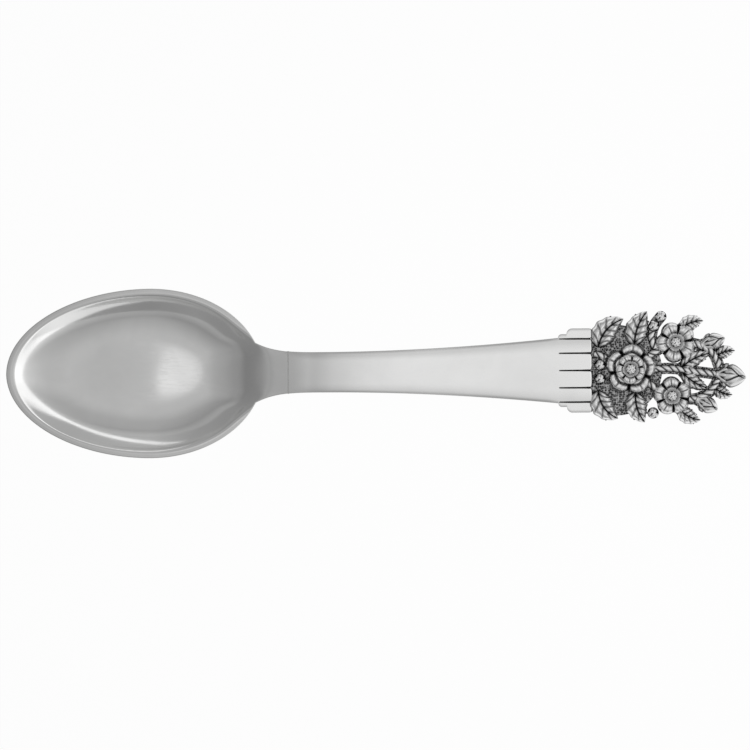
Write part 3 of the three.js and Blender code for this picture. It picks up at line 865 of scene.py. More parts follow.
@dataclass(frozen=True)
class OxidisedSilver(Finish):
    """The blackened ground of the finial, struck all over with a small round punch."""

    title: str = "oxidised silver"
    slot: Slot = Slot.OXIDISED
    bright: Colour = (0.72, 0.72, 0.72, 1.0)
    dark: Colour = (0.02, 0.02, 0.021, 1.0)
    grain: float = 0.6
    punch: float = 0.42
    scatter: float = 0.7
    rim_range: Pair = (0.35, 0.75)
    rim_wear: float = 0.62
    rough_range: Pair = (0.3, 0.6)
    punch_strength: float = 0.7
    punch_depth: float = 0.08

    def paint(self, nodes: NodeTree) -> tuple[Socket, Socket, Socket]:
        """Add punch marks to the normal, and let their rims shine through the oxide.

        Args:
            nodes: The material's nodes.

        Returns:
            The colour, the roughness and the normal.
        """
        place = self.object_place(nodes)
        oxide = self.oxide(nodes, place).outputs["Oxide"]
        marks = nodes.add("ShaderNodeTexVoronoi", Scale=1.0 / (self.punch * MM), Randomness=self.scatter)
        nodes.link(place, marks.inputs["Vector"])
        rims = nodes.spread(marks.outputs["Distance"], *self.rim_range)
        worn = nodes.math("SUBTRACT", oxide, nodes.math("MULTIPLY", rims, self.rim_wear), clamp=True)
        rough = nodes.spread(worn, 0.0, 1.0, *self.rough_range)
        normal = self.bump(nodes, rims, self.punch_strength, self.punch_depth)
        return nodes.blend(worn, self.bright, self.dark), rough, normal


@dataclass
class Bowl:
    """The raised bowl with its stub of neck."""

    lines: Lines
    edge_radius: float = 0.24
    foot_radius: float = 0.3
    rim_rings: int = 16
    rim_zone: float = 3.6
    rim_bunching: float = 1.4
    edge_steps: int = 6
    floor_rings: int = 44
    round_columns: int = 240
    side_columns: int = 16
    end_columns: int = 20

    def outline(self) -> tuple[Array, Array, Array]:
        """Return the bowl's outline, from the seam round the bowl and back.

        Returns:
            Its places, its outward directions (none at the seam) and the places its rim is drawn in to.
        """
        lines = self.lines
        half = float(lines.half_width(np.array(lines.seam_x)))
        corner = math.asin(lines.heel_half / lines.bowl_half)
        end_y = np.linspace(-half, half, self.end_columns + 1)[1:-1]
        end = np.stack([np.full_like(end_y, lines.seam_x), end_y], axis=1)
        side_x = np.linspace(lines.seam_x, lines.heel_x, self.side_columns + 1)[:-1]
        upper = np.stack([side_x, lines.half_width(side_x)], axis=1)
        angle = np.linspace(corner, 2.0 * math.pi - corner, self.round_columns + 1)
        cosine, sine = np.cos(angle), np.sin(angle)
        power = np.where(cosine < 0.0, lines.tip_power, ELLIPSE_POWER)
        reach = np.where(cosine < 0.0, lines.tip_reach, lines.heel_ellipse)
        along = reach * np.sign(cosine) * np.abs(cosine) ** (2.0 / power)
        across = lines.bowl_half * np.sign(sine) * np.abs(sine) ** (2.0 / power)
        bow = np.stack([lines.widest_x + along, across], axis=1)
        lower = upper[::-1] * np.array([1.0, -1.0])
        places = np.concatenate([end, upper, bow, lower])
        edge = places[len(end):]
        way = np.gradient(edge, axis=0)
        way[0], way[-1] = (-1.0, 0.0), (1.0, 0.0)
        outward = np.stack([way[:, 1], -way[:, 0]], axis=1)
        outward /= np.linalg.norm(outward, axis=1, keepdims=True)
        inner = edge - outward * self.rim_zone
        count = len(upper)
        seam_corner = np.array([lines.seam_x, half - self.edge_radius])
        share = np.linspace(0.0, 1.0, count + 1)[:-1, None]
        inner[:count] = mix(seam_corner, inner[count], share)
        inner[-count:] = inner[:count][::-1] * np.array([1.0, -1.0])
        return places, np.concatenate([np.zeros((len(end), 2)), outward]), np.concatenate([end, inner])

    def build(self) -> Piece:
        """Build the bowl as rings from the middle of its front over the rim to the middle of its back.

        Returns:
            The closed piece.
        """
        lines = self.lines
        places, outward, inner = self.outline()
        free = np.linalg.norm(outward, axis=1)
        middle = np.array([lines.widest_x, 0.0])
        edge, foot = self.edge_radius, self.foot_radius
        turn = np.linspace(0.0, math.pi / 2.0, self.edge_steps)
        zone = mix(edge, self.rim_zone, np.linspace(1.0, 0.0, self.rim_rings) ** self.rim_bunching)
        shares = np.linspace(0.0, 1.0, self.floor_rings)
        rows = [(share, self.rim_zone, 0.0, True) for share in shares[:-1]]
        rows += [(1.0, inset, 0.0, True) for inset in zone]
        rows += [(1.0, edge * (1 - math.sin(a)), edge * (1 - math.cos(a)), True) for a in turn[1:]]
        rows += [(1.0, foot * (1 - math.cos(a)), foot * (1 - math.sin(a)), False) for a in turn]
        rows += [(share, foot, 0.0, False) for share in np.linspace(1.0, 0.0, self.floor_rings)[1:]]
        points = []
        for share, inset, drop, is_front in rows:
            deeper = max(0.0, (inset - edge) / (self.rim_zone - edge))
            ring = mix(places - outward * min(inset, edge), inner, deeper)
            drawn = middle + (ring - middle) * share
            x, y = drawn[:, 0], drawn[:, 1]
            height = lines.front(x, y) - drop * free if is_front else lines.back(x, y) + drop * free
            points.append(np.stack([x, y, height], axis=1))
        grid = np.array(points)
        closed = np.concatenate([grid, grid[:, :1]], axis=1)
        return wrapped("silver_bowl", closed, np.zeros(closed.shape[:2]), BODY_CREASE)

    def dress(self, piece: Piece) -> None:
        """Give the bowl its polish."""
        settle(piece, "bowl", PolishedSilver())


@dataclass
class Handle:
    """The arched handle, whose end is grooved into six flutes."""

    lines: Lines
    edge_radius: float = 0.14
    foot_radius: float = 0.25
    corner_steps: int = 5
    end_radius: float = 0.4
    end_steps: int = 6
    end_zone: float = 1.6
    end_dark: float = 0.75
    groove_shares: tuple[float, ...] = (-0.75, -0.41, 0.0, 0.41, 0.75)
    groove_depth: float = 0.7
    groove_half: float = 0.17
    groove_start_half: float = 0.11
    groove_start_depth: float = 0.6
    groove_reach: float = 1.15
    groove_run_in: float = 0.4
    groove_zone: float = 0.4
    groove_columns: int = 15
    face_columns: int = 85
    shoulder_columns: int = 25
    face_stations: int = 88
    flute_step: float = 0.15
    shoulder_shares: tuple[float, ...] = (0.0, 0.004, 0.015, 0.04, 0.08, 0.14, 0.22, 0.34, 0.5, 0.7, 1.0)
    flute_recess: float = 0.5
    flute_roundness: float = 0.97
    lap_length: float = 6.0
    lap_inset: float = 0.3
    lap_step: float = 0.004
    plate_thickness: float = 1.1
    # painted shade along the handle's edges: how dark it gets, how wide it is, and how far from the seam it
    # grows to full
    edge_painted_shade: float = 0.34
    edge_shade_width: float = 0.75
    edge_shade_start: float = 15.0
    seam_sunk: float = 0.006
    seam_dark: float = 0.5

    @property
    def end_half(self) -> float:
        """Return the half width of the handle's end."""
        return float(self.lines.shouldered_half_width(np.array(self.lines.collar_x)))

    @property
    def groove_places(self) -> Array:
        """Return the grooves' places across the handle's end."""
        return np.array(self.groove_shares) * self.end_half

    def stations(self) -> Array:
        """Return the places along the handle that have a section, closest where it changes most.

        Returns:
            The places, in order.
        """
        lines = self.lines
        close = np.array(self.shoulder_shares)
        lap = lines.collar_x - self.lap_length
        end = lines.collar_x - self.end_radius
        along = np.concatenate([
            np.linspace(lines.handle_x, lines.flute_x, self.face_stations),
            np.arange(lines.flute_x, end, self.flute_step),
            lines.flute_x + lines.small_step * close,
            lines.large_step_x + lines.large_step * close,
            [lap - self.lap_step, lap + self.lap_step, end],
        ])
        return np.unique(np.round(along, 4))

    def columns(self) -> tuple[Array, Array]:
        """Return where a section has its points across the front.

        Returns:
            Places across the fluted end up to the first shoulder, and shares of the way on to the edge.
        """
        reach = self.lines.flare_half - self.edge_radius
        face = np.linspace(-reach, reach, self.face_columns)
        near = np.linspace(-self.groove_zone, self.groove_zone, self.groove_columns)
        across = np.concatenate([face, *(place + near for place in self.groove_places)])
        inner = np.unique(np.round(across[np.abs(across) <= reach], 3))
        return inner, np.linspace(0.0, 1.0, self.shoulder_columns)[1:]

    def groove(self, x: Array, y: Array) -> Array:
        """Return how deep the grooves are, from 0 to 1.

        Args:
            x: Places along the spoon.
            y: Places across it.

        Returns:
            The depths.
        """
        lines = self.lines
        grown = np.clip((x - lines.flute_x) / lines.flute_length, 0.0, 1.0)
        half = mix(self.groove_start_half, self.groove_half, grown)
        nearest = np.min(np.abs(y[..., None] - self.groove_places), axis=-1)
        depth = np.clip(self.groove_reach - nearest / half, 0.0, 1.0)
        run_in = fade(x, lines.flute_x, self.groove_run_in)
        return depth * run_in * mix(self.groove_start_depth, 1.0, grown)

    def flute_end(self, y: Array) -> Array:
        """Return how far the rounded ends of the flutes stand back.

        Args:
            y: Places across the spoon.

        Returns:
            The distances.
        """
        marks = np.concatenate([[-self.end_half], self.groove_places, [self.end_half]])
        index = np.clip(np.searchsorted(marks, y) - 1, 0, len(marks) - 2)
        across = np.clip(2.0 * (y - marks[index]) / (marks[index + 1] - marks[index]) - 1.0, -1.0, 1.0)
        return self.flute_recess * (1.0 - half_round(self.flute_roundness * across**2))

    def sections(
        self, x: Array, shape_x: Array, half: Array, drop: Array, lower: float = 0.0
    ) -> tuple[Array, Array]:
        """Return closed loops of points round the handle, one for each station.

        Args:
            x: Where the loops lie.
            shape_x: Where their shape is taken from.
            half: Their half widths.
            drop: How far the end's rounding has brought each front down.
            lower: How far all of the front lies below the handle's.

        Returns:
            The points and how dark the metal is at each.
        """
        lines = self.lines
        inner, shares = self.columns()
        reach = lines.flare_half - self.edge_radius
        top_half = half - self.edge_radius
        scale = np.where(shape_x < lines.flute_x, top_half / reach, 1.0)[:, None]
        right = mix(reach * scale, top_half[:, None], shares)
        top_y = np.concatenate([-right[:, ::-1], inner[None, :] * scale, right], axis=1)
        row_x = np.broadcast_to(shape_x[:, None], top_y.shape)
        groove = self.groove(row_x, top_y)
        level = lines.front_height(row_x) - lines.crown_fall(row_x, top_y) - lower
        top_z = level - self.groove_depth * groove - drop[:, None] * (1.0 - groove)
        foot = lines.front_height(shape_x) - lines.edge_thickness(shape_x)
        bottom_y = (top_y * ((half - self.foot_radius) / top_half)[:, None])[:, ::-1]
        bottom_z = lines.neck_back(row_x, bottom_y)
        lap_half = lines.flare_half - self.lap_inset
        is_lap = (row_x > lines.collar_x - self.lap_length) & (np.abs(bottom_y) < lap_half)
        bottom_z = np.where(is_lap, self.plate_thickness, bottom_z)
        turn = np.linspace(0.0, math.pi / 2.0, self.corner_steps)[1:]
        edge_y = half[:, None] - self.edge_radius * (1.0 - np.sin(turn))
        edge_z = top_z[:, -1:] - self.edge_radius * (1.0 - np.cos(turn))
        foot_y = half[:, None] - self.foot_radius * (1.0 - np.cos(turn[:-1] - turn[0]))
        foot_z = foot[:, None] + self.foot_radius * (1.0 - np.sin(turn[:-1] - turn[0]))
        other_y = [-foot_y[:, ::-1], -edge_y[:, ::-1]]
        other_z = [foot_z[:, ::-1], edge_z[:, ::-1]]
        y = np.concatenate([top_y, edge_y, foot_y, bottom_y, *other_y, top_y[:, :1]], axis=1)
        z = np.concatenate([top_z, edge_z, foot_z, bottom_z, *other_z, top_z[:, :1]], axis=1)
        stand = np.broadcast_to(x[:, None], y.shape)
        near_end = ease((shape_x[:, None] - lines.collar_x + self.end_zone) / self.end_zone)
        points = np.stack([stand - self.flute_end(y) * near_end, y, z], axis=2)
        # Painted shade: the metal darkens towards the handle's edges, growing from the seam
        dull = self.edge_painted_shade * fade(shape_x, lines.seam_x, self.edge_shade_start)
        dark = dull[:, None] * (1.0 - ease((half[:, None] - np.abs(y)) / self.edge_shade_width))
        wide = top_y.shape[1]
        blackened = np.maximum(groove, self.end_dark * drop[:, None] / self.end_radius)
        dark[:, :wide] = np.maximum(dark[:, :wide], blackened)
        dark[:, -1] = dark[:, 0]
        return points, dark

    def capped(self, points: Array, dark: Array) -> tuple[Array, Array]:
        """Close both ends of a row of loops by folding each end's front down on its back.

        Args:
            points: The loops.
            dark: How dark the metal is at each point.

        Returns:
            The loops with a folded one at each end, and their darkness.
        """
        inner, shares = self.columns()
        wide = len(inner) + 2 * len(shares)
        corner = (points.shape[1] - 1 - 2 * wide) // 2
        folded = []
        for loop in (points[0], points[-1]):
            front = loop[:wide]
            back = loop[wide + corner: 2 * wide + corner][::-1]
            seam = front.copy()
            seam[:, 2] = (front[:, 2] + back[:, 2]) / 2.0
            sides = [np.repeat(seam[-1:], corner, axis=0), np.repeat(seam[:1], corner, axis=0)]
            folded.append(np.concatenate([seam, sides[0], seam[::-1], sides[1], seam[:1]]))
        loops = np.concatenate([folded[0][None], points, folded[1][None]])
        return loops, np.concatenate([dark[:1], dark, dark[-1:]])

    def build(self) -> Piece:
        """Build the handle, from the seam to the rounded ends of its flutes.

        Returns:
            The closed piece.
        """
        lines = self.lines
        along = self.stations()
        turn = np.linspace(0.0, math.pi / 2.0, self.end_steps)[1:]
        x = np.concatenate([along, lines.collar_x - self.end_radius * (1.0 - np.sin(turn))])
        drop = np.concatenate([np.zeros_like(along), self.end_radius * (1.0 - np.cos(turn))])
        points, dark = self.sections(x, x, lines.shouldered_half_width(x), drop)
        return wrapped("silver_handle", *self.capped(points, dark), BODY_CREASE)

    def build_seam(self) -> Piece:
        """Build the wafer of solder before the handle, a hair below its surface.

        Returns:
            The closed piece.
        """
        lines = self.lines
        x = np.array([lines.seam_x, lines.handle_x])
        shape_x = np.full(2, lines.seam_x)
        half = lines.half_width(shape_x) - self.seam_sunk
        points, dark = self.sections(x, shape_x, half, np.zeros(2), self.seam_sunk)
        return wrapped("silver_neck_solder_seam", *self.capped(points, dark + self.seam_dark), BODY_CREASE)

    def dress(self, handle: Piece, seam: Piece) -> None:
        """Give the handle its polish and the seam its dull solder."""
        settle(handle, "handle", PolishedSilver())
        settle(seam, "neck_solder_seam", SolderSilver())


@dataclass(frozen=True)
class Bow:
    """A bent line in the finial's plane: along the spoon from the flutes, then across it."""

    start: Pair
    end: Pair
    bend: float = 0.0

    def at(self, share: Array) -> Array:
        """Return places on the line.

        Args:
            share: Shares of the way along it.

        Returns:
            The places.
        """
        first, last = np.array(self.start), np.array(self.end)
        way = (last - first) / np.linalg.norm(last - first)
        middle = (first + last) / 2.0 + 2.0 * self.bend * np.array([-way[1], way[0]])
        t = share[..., None]
        return (1.0 - t) ** 2 * first + 2.0 * t * (1.0 - t) * middle + t**2 * last


@dataclass(frozen=True)
class Wire:
    """A smooth line through places in the finial's plane."""

    through: tuple[Pair, ...]

    def at(self, share: Array) -> Array:
        """Return places on the line.

        Args:
            share: Shares of the way along it.

        Returns:
            The places.
        """
        places = np.array(self.through)
        last = len(places) - 1
        step = np.clip(share, 0.0, 1.0) * last
        index = np.minimum(step.astype(int), last - 1)
        t = (step - index)[..., None]
        before, here = places[np.maximum(index - 1, 0)], places[index]
        there, after = places[index + 1], places[np.minimum(index + 2, last)]
        leave, arrive = (there - before) / 2.0, (after - here) / 2.0
        cubic = (2.0 * here - 2.0 * there + leave + arrive) * t**3
        square = (3.0 * there - 3.0 * here - 2.0 * leave - arrive) * t**2
        return cubic + square + leave * t + here


@dataclass(frozen=True)
class Ground:
    """Where the finial's ornaments stand: the flutes' ends and the plate's front."""

    collar_x: float
    front_z: float
    sink: float = 0.03
    foot_dark: float = 0.4
    probe: float = 1e-4

    def strip(
        self, name: str, path: Bow | Wire, along: Array, shares: Array, half: Array, height: Array,
        dark: Array,
    ) -> Piece:
        """Return a closed relief along a line.

        Args:
            name: The new piece's name.
            path: The line that it follows.
            along: Shares of the way along the line, by row and column.
            shares: Shares of the half width across it, likewise.
            half: The half widths, likewise.
            height: The heights above the plate, likewise.
            dark: How dark the metal is, likewise.

        Returns:
            The piece.
        """
        spot = path.at(along)
        way = path.at(np.minimum(along + self.probe, 1.0)) - path.at(np.maximum(along - self.probe, 0.0))
        way /= np.linalg.norm(way, axis=-1, keepdims=True)
        offset = (shares * half)[..., None] * np.stack([-way[..., 1], way[..., 0]], axis=-1)
        front = np.concatenate([spot + offset, height[..., None]], axis=-1)
        feet = front[:, [-1, 0]].copy()
        feet[..., 2] = -self.sink
        loops = np.concatenate([front, feet, front[:, :1]], axis=1)
        shade = np.concatenate([dark, dark[:, [-1, 0]] + self.foot_dark, dark[:, :1]], axis=1)
        first, last = (
            np.broadcast_to(loop.mean(axis=1, keepdims=True), loop.shape) for loop in (loops[:1], loops[-1:]))
        grid = np.concatenate([first, loops, last])
        shade = np.concatenate([shade[:1], shade, shade[-1:]])
        return wrapped(name, grid + self.origin, shade, RELIEF_CREASE)

    def disc(
        self, name: str, centre: Pair, reach: Array, height: Array, dark: Array, base: float = 0.0
    ) -> Piece:
        """Return a closed relief round a place.

        Args:
            name: The new piece's name.
            centre: The place in the finial's plane.
            reach: Distances from the centre, by ring and column, the first ring all in the centre.
            height: The heights above the base, likewise.
            dark: How dark the metal is, likewise.
            base: The height of the base above the plate.

        Returns:
            The piece.
        """
        angle = np.linspace(0.0, 2.0 * math.pi, reach.shape[1])
        foot = np.concatenate([reach[-1:], np.zeros_like(reach[:1])])
        far = np.concatenate([reach, foot])
        level = np.concatenate([height, np.full_like(foot, -self.sink)]) + base
        shade = np.concatenate([dark, np.ones_like(foot)])
        grid = np.stack([centre[0] + far * np.cos(angle), centre[1] + far * np.sin(angle), level], axis=-1)
        return wrapped(name, grid + self.origin, shade, RELIEF_CREASE)

    @property
    def origin(self) -> Array:
        """Return the place in the spoon that the finial's plane starts from."""
        return np.array([self.collar_x, 0.0, self.front_z])


def grid_shares(rows: int, columns: int) -> tuple[Array, Array]:
    """Return shares along from 0 to 1 and across from -1 to 1, each by row and column."""
    along, across = np.linspace(0.0, 1.0, rows), np.linspace(-1.0, 1.0, columns)
    return np.repeat(along[:, None], columns, axis=1), np.repeat(across[None, :], rows, axis=0)


def swell(along: Array, lean: float, power: float) -> Array:
    """Return a swelling from 0 through 1 to 0 along an ornament, fuller towards its foot for a small lean."""
    return np.maximum(0.0, np.sin(math.pi * np.clip(along, 0.0, 1.0) ** lean)) ** power


@dataclass(frozen=True)
class Leaf:
    """A chased leaf: two blades that rise from notched edges, with a vein between and veins aslant."""

    name: str
    path: Bow
    half: float
    start: float = 0.0
    height: float = 1.7
    edge: float = 0.4
    least_half: float = 0.04
    notch_depth: float = 0.09
    veins: int = 5
    vein_slant: float = 0.2
    vein_width: float = 0.15
    vein_depth: float = 0.2
    vein_dark: float = 0.62
    midrib_width: float = 0.075
    midrib_depth: float = 0.22
    midrib_dark: float = 1.05
    face_dark: float = 0.02
    edge_dark: float = 0.6
    root_zone: float = 0.16
    outline_swell: Pair = (0.75, 0.8)
    crest_swell: Pair = (0.8, 1.0)
    least_crest: float = 0.5
    rib_clear: float = 0.12
    vein_end: Pair = (0.72, 0.28)
    blade_power: int = 4
    valley_level: float = 0.5
    valley_half: float = 0.5
    rim_zone: Pair = (0.86, 0.14)
    tip_zone: Pair = (0.82, 0.18)
    tip_height: float = 0.55
    rows: int = 84
    columns: int = 49

    def build(self, ground: Ground) -> Piece:
        """Build the leaf.

        Args:
            ground: Where it stands.

        Returns:
            The closed piece.
        """
        along, across = grid_shares(self.rows, self.columns)
        along = mix(self.start, 1.0, along)
        far = np.abs(across)
        phase = self.veins * (along - self.vein_slant * far)
        notch = 0.5 + 0.5 * np.cos(2.0 * math.pi * self.veins * (along - self.vein_slant))
        wide = self.half * swell(along, *self.outline_swell) * (1.0 - self.notch_depth * notch)
        half = np.maximum(self.least_half, wide)
        inside = ease(far / self.rib_clear) * (1.0 - fade(far, *self.vein_end))
        vein = line_mark((phase % 1.0) - 0.5, self.vein_width) * inside
        midrib = line_mark(across, self.midrib_width)
        blade = (1.0 - far**self.blade_power) * mix(self.valley_level, 1.0, ease(far / self.valley_half))
        tip = mix(1.0, self.tip_height, fade(along, *self.tip_zone))
        crest = self.height * mix(self.least_crest, 1.0, swell(along, *self.crest_swell)) * tip
        carved = self.vein_depth * vein * crest / self.height
        height = mix(self.edge, crest, blade) - carved - self.midrib_depth * midrib
        rim = fade(far, *self.rim_zone)
        dark = self.face_dark + self.vein_dark * vein + self.midrib_dark * midrib + self.edge_dark * rim
        dark += self.edge_dark * (1.0 - fade(along, self.start, self.root_zone))
        return ground.strip(f"silver_{self.name}", self.path, along, across, half, height, dark)


@dataclass(frozen=True)
class Stem:
    """A stem of twisted wire."""

    name: str
    path: Wire
    start: float = 0.0
    end: float = 1.0
    half: float = 0.75
    height: float = 1.15
    butt: float = 0.3
    pitch: float = 1.4
    lean: float = 0.45
    groove_width: float = 0.17
    groove_depth: float = 0.17
    narrowing: float = 0.08
    face_dark: float = 0.05
    deep_dark: float = 0.8
    side_zone: Pair = (0.7, 0.3)
    row_length: float = 0.09
    least_rows: int = 24
    probes: int = 200
    columns: int = 21

    def build(self, ground: Ground) -> Piece:
        """Build the stem.

        Args:
            ground: Where it stands.

        Returns:
            The closed piece.
        """
        probe = self.path.at(np.linspace(self.start, self.end, self.probes))
        length = float(np.sum(np.linalg.norm(np.diff(probe, axis=0), axis=1)))
        along, across = grid_shares(max(self.least_rows, int(length / self.row_length)), self.columns)
        twist = along * length / self.pitch + self.lean * across
        groove = line_mark((twist % 1.0) - 0.5, self.groove_width)
        round_over = half_round(across)
        height = mix(self.butt, self.height - SKIN, round_over) - self.groove_depth * groove * round_over
        side = fade(np.abs(across), *self.side_zone)
        dark = self.face_dark + self.deep_dark * groove + self.deep_dark * side
        half = np.full_like(along, self.half) * (1.0 - self.narrowing * groove)
        stretch = mix(self.start, self.end, along)
        return ground.strip(f"silver_{self.name}", self.path, stretch, across, half, height, dark)


@dataclass(frozen=True)
class Bud:
    """A closed bud of folded petals in a cup of pointed sepals."""

    name: str
    path: Bow
    half: float
    height: float = 2.3
    butt: float = 0.3
    hidden_share: float = 0.55
    fit: float = 0.99
    least_half: float = 0.05
    outline_swell: Pair = (0.85, 0.7)
    least_crest: float = 0.4
    least_free: float = 0.72
    free_share: float = 0.9
    folds: tuple[tuple[float, ...], ...] = ((-0.85, 0.42, 0.8, 0.1), (0.95, -0.3, 1.2, 0.09))
    fold_depth: float = 0.2
    fold_end: Pair = (0.93, 0.07)
    crease: Pair = (0.25, 0.1)
    crease_width: float = 0.06
    crease_level: float = 0.8
    crease_end: Pair = (0.35, 0.3)
    fold_dark: float = 0.85
    face_dark: float = 0.05
    side_dark: float = 0.7
    root_dark: float = 0.8
    side_zone: Pair = (0.8, 0.2)
    root_zone: float = 0.2
    calyx_length: float = 2.5
    calyx_height: float = 1.9
    sepal_waves: float = 2.0
    sepal_cut: float = 0.42
    sepal_zone: Pair = (0.3, 0.7)
    cup_flare: float = 1.2
    seam_width: float = 0.3
    seam_depth: float = 0.14
    seam_zone: Pair = (0.15, 0.4)
    rib_width: float = 0.06
    rib_height: float = 0.05
    rib_zone: Pair = (0.1, 0.3)
    lip_fall: float = 0.35
    lip_zone: Pair = (0.85, 0.15)
    cup_dark: float = 0.06
    cup_seam_dark: float = 0.75
    cup_side_dark: float = 0.6
    cup_foot_dark: float = 0.7
    cup_foot: float = 0.12
    stem_half: float = 0.75
    stem_height: float = 1.15
    rows: int = 72
    columns: int = 49
    calyx_rows: int = 40
    calyx_columns: int = 57

    @property
    def cup_share(self) -> float:
        """Return the share of the bud's length that its cup takes."""
        return self.calyx_length / math.dist(self.path.start, self.path.end)

    def build(self, ground: Ground) -> Piece:
        """Build the bud, from inside its cup to its point, with folds that run aslant over it.

        Each fold has its first and last place across, the power of its curve and its width.

        Args:
            ground: Where it stands.

        Returns:
            The closed piece.
        """
        step, across = grid_shares(self.rows, self.columns)
        start = self.hidden_share * self.cup_share
        along = mix(start, 1.0, step)
        free = mix(self.least_free, 1.0, ease((along - start) / (self.free_share * self.cup_share)))
        full = swell(along, *self.outline_swell)
        half = np.maximum(self.least_half, self.half * full * free * self.fit)
        crest = self.height * mix(self.least_crest, 1.0, full) * free
        fold = np.zeros_like(step)
        for first, last, power, width in self.folds:
            fold = fold + line_mark(across - mix(first, last, step**power), width)
        crease = self.crease_level * line_mark(across - mix(*self.crease, step), self.crease_width)
        fold += crease * (1.0 - fade(step, *self.crease_end))
        fold = np.minimum(fold, 1.0) * (1.0 - fade(step, *self.fold_end))
        round_over = half_round(across)
        height = mix(self.butt, crest, round_over) - self.fold_depth * fold * round_over
        side = fade(np.abs(across), *self.side_zone)
        root = 1.0 - ease(step / self.root_zone)
        dark = self.face_dark + self.fold_dark * fold + self.side_dark * side + self.root_dark * root
        return ground.strip(f"silver_{self.name}", self.path, along, across, half, height, dark)

    def build_calyx(self, ground: Ground) -> Piece:
        """Build the cup, whose sepals end in points on the bud.

        Args:
            ground: Where it stands.

        Returns:
            The closed piece.
        """
        along, across = grid_shares(self.calyx_rows, self.calyx_columns)
        sepal = 0.5 + 0.5 * np.cos(2.0 * math.pi * self.sepal_waves * across)
        cut = along * (1.0 - self.sepal_cut * (1.0 - sepal) * fade(along, *self.sepal_zone))
        half = mix(self.stem_half, self.half, ease(self.cup_flare * cut)) * self.fit
        crest = mix(self.stem_height, self.calyx_height, ease(cut))
        seam = line_mark(sepal, self.seam_width) * fade(along, *self.seam_zone)
        rib = line_mark(sepal - 1.0, self.rib_width) * fade(along, *self.rib_zone)
        lip = 1.0 - self.lip_fall * fade(along, *self.lip_zone)
        body = mix(self.butt, crest, half_round(across)) * (1.0 - self.seam_depth * seam) * lip
        height = np.minimum(body + self.rib_height * rib, self.calyx_height)
        side = fade(np.abs(across), *self.side_zone)
        foot = 1.0 - ease(along / self.cup_foot)
        dark = self.cup_dark + self.cup_seam_dark * seam + self.cup_side_dark * side
        dark += self.cup_foot_dark * foot
        end = mix(np.array(self.path.start), np.array(self.path.end), self.cup_share)
        line = Bow(self.path.start, tuple(end))
        return ground.strip(f"silver_{self.name}_calyx", line, cut, across, half, height, dark)


@dataclass(frozen=True)
class Berry:
    """A dome of small round grains: a berry, or the bead in the middle of a flower."""

    name: str
    centre: Pair
    radius: float
    height: float
    grains: int
    base: float = 0.0
    butt: float = 0.25
    least_height: float = 0.05
    grain_reach: float = 0.94
    grain_size: float = 1.02
    grain_depth: float = 0.42
    roundness: float = 0.97
    first_grain: float = 0.35
    gap_level: float = 0.62
    gap_soft: float = 0.5
    face_dark: float = 0.04
    foot_dark: float = 0.6
    foot_zone: Pair = (0.85, 0.15)
    rings: int = 30
    columns: int = 97

    def build(self, ground: Ground) -> Piece:
        """Build the dome, on its ground or on its seat.

        Args:
            ground: Where it stands.

        Returns:
            The closed piece.
        """
        share = np.repeat(np.linspace(0.0, 1.0, self.rings)[:, None], self.columns, axis=1)
        angle = np.broadcast_to(np.linspace(0.0, 2.0 * math.pi, self.columns), share.shape)
        count = np.arange(self.grains)
        spiral = np.sqrt((count + self.first_grain) / self.grains) * self.grain_reach
        turn = count * math.pi * (3.0 - math.sqrt(5.0))  # each a golden angle on from the last
        place = np.stack([share * np.cos(angle), share * np.sin(angle)], axis=-1)
        grain = np.stack([spiral * np.cos(turn), spiral * np.sin(turn)], axis=-1)
        nearest = np.min(np.linalg.norm(place[:, :, None] - grain, axis=-1), axis=-1)
        size = self.grain_size / math.sqrt(self.grains)
        bulge = half_round(np.minimum(1.0, nearest / size))
        body = mix(self.butt, self.height, half_round(self.roundness * share))
        height = np.minimum(body - self.grain_depth * size * self.radius * (1.0 - bulge), self.height)
        height = np.maximum(height, self.least_height)
        gap = ease((self.gap_level - bulge) / self.gap_soft)
        dark = self.face_dark + gap + self.foot_dark * fade(share, *self.foot_zone)
        reach = share * self.radius
        return ground.disc(f"silver_{self.name}", self.centre, reach, height, dark, self.base)


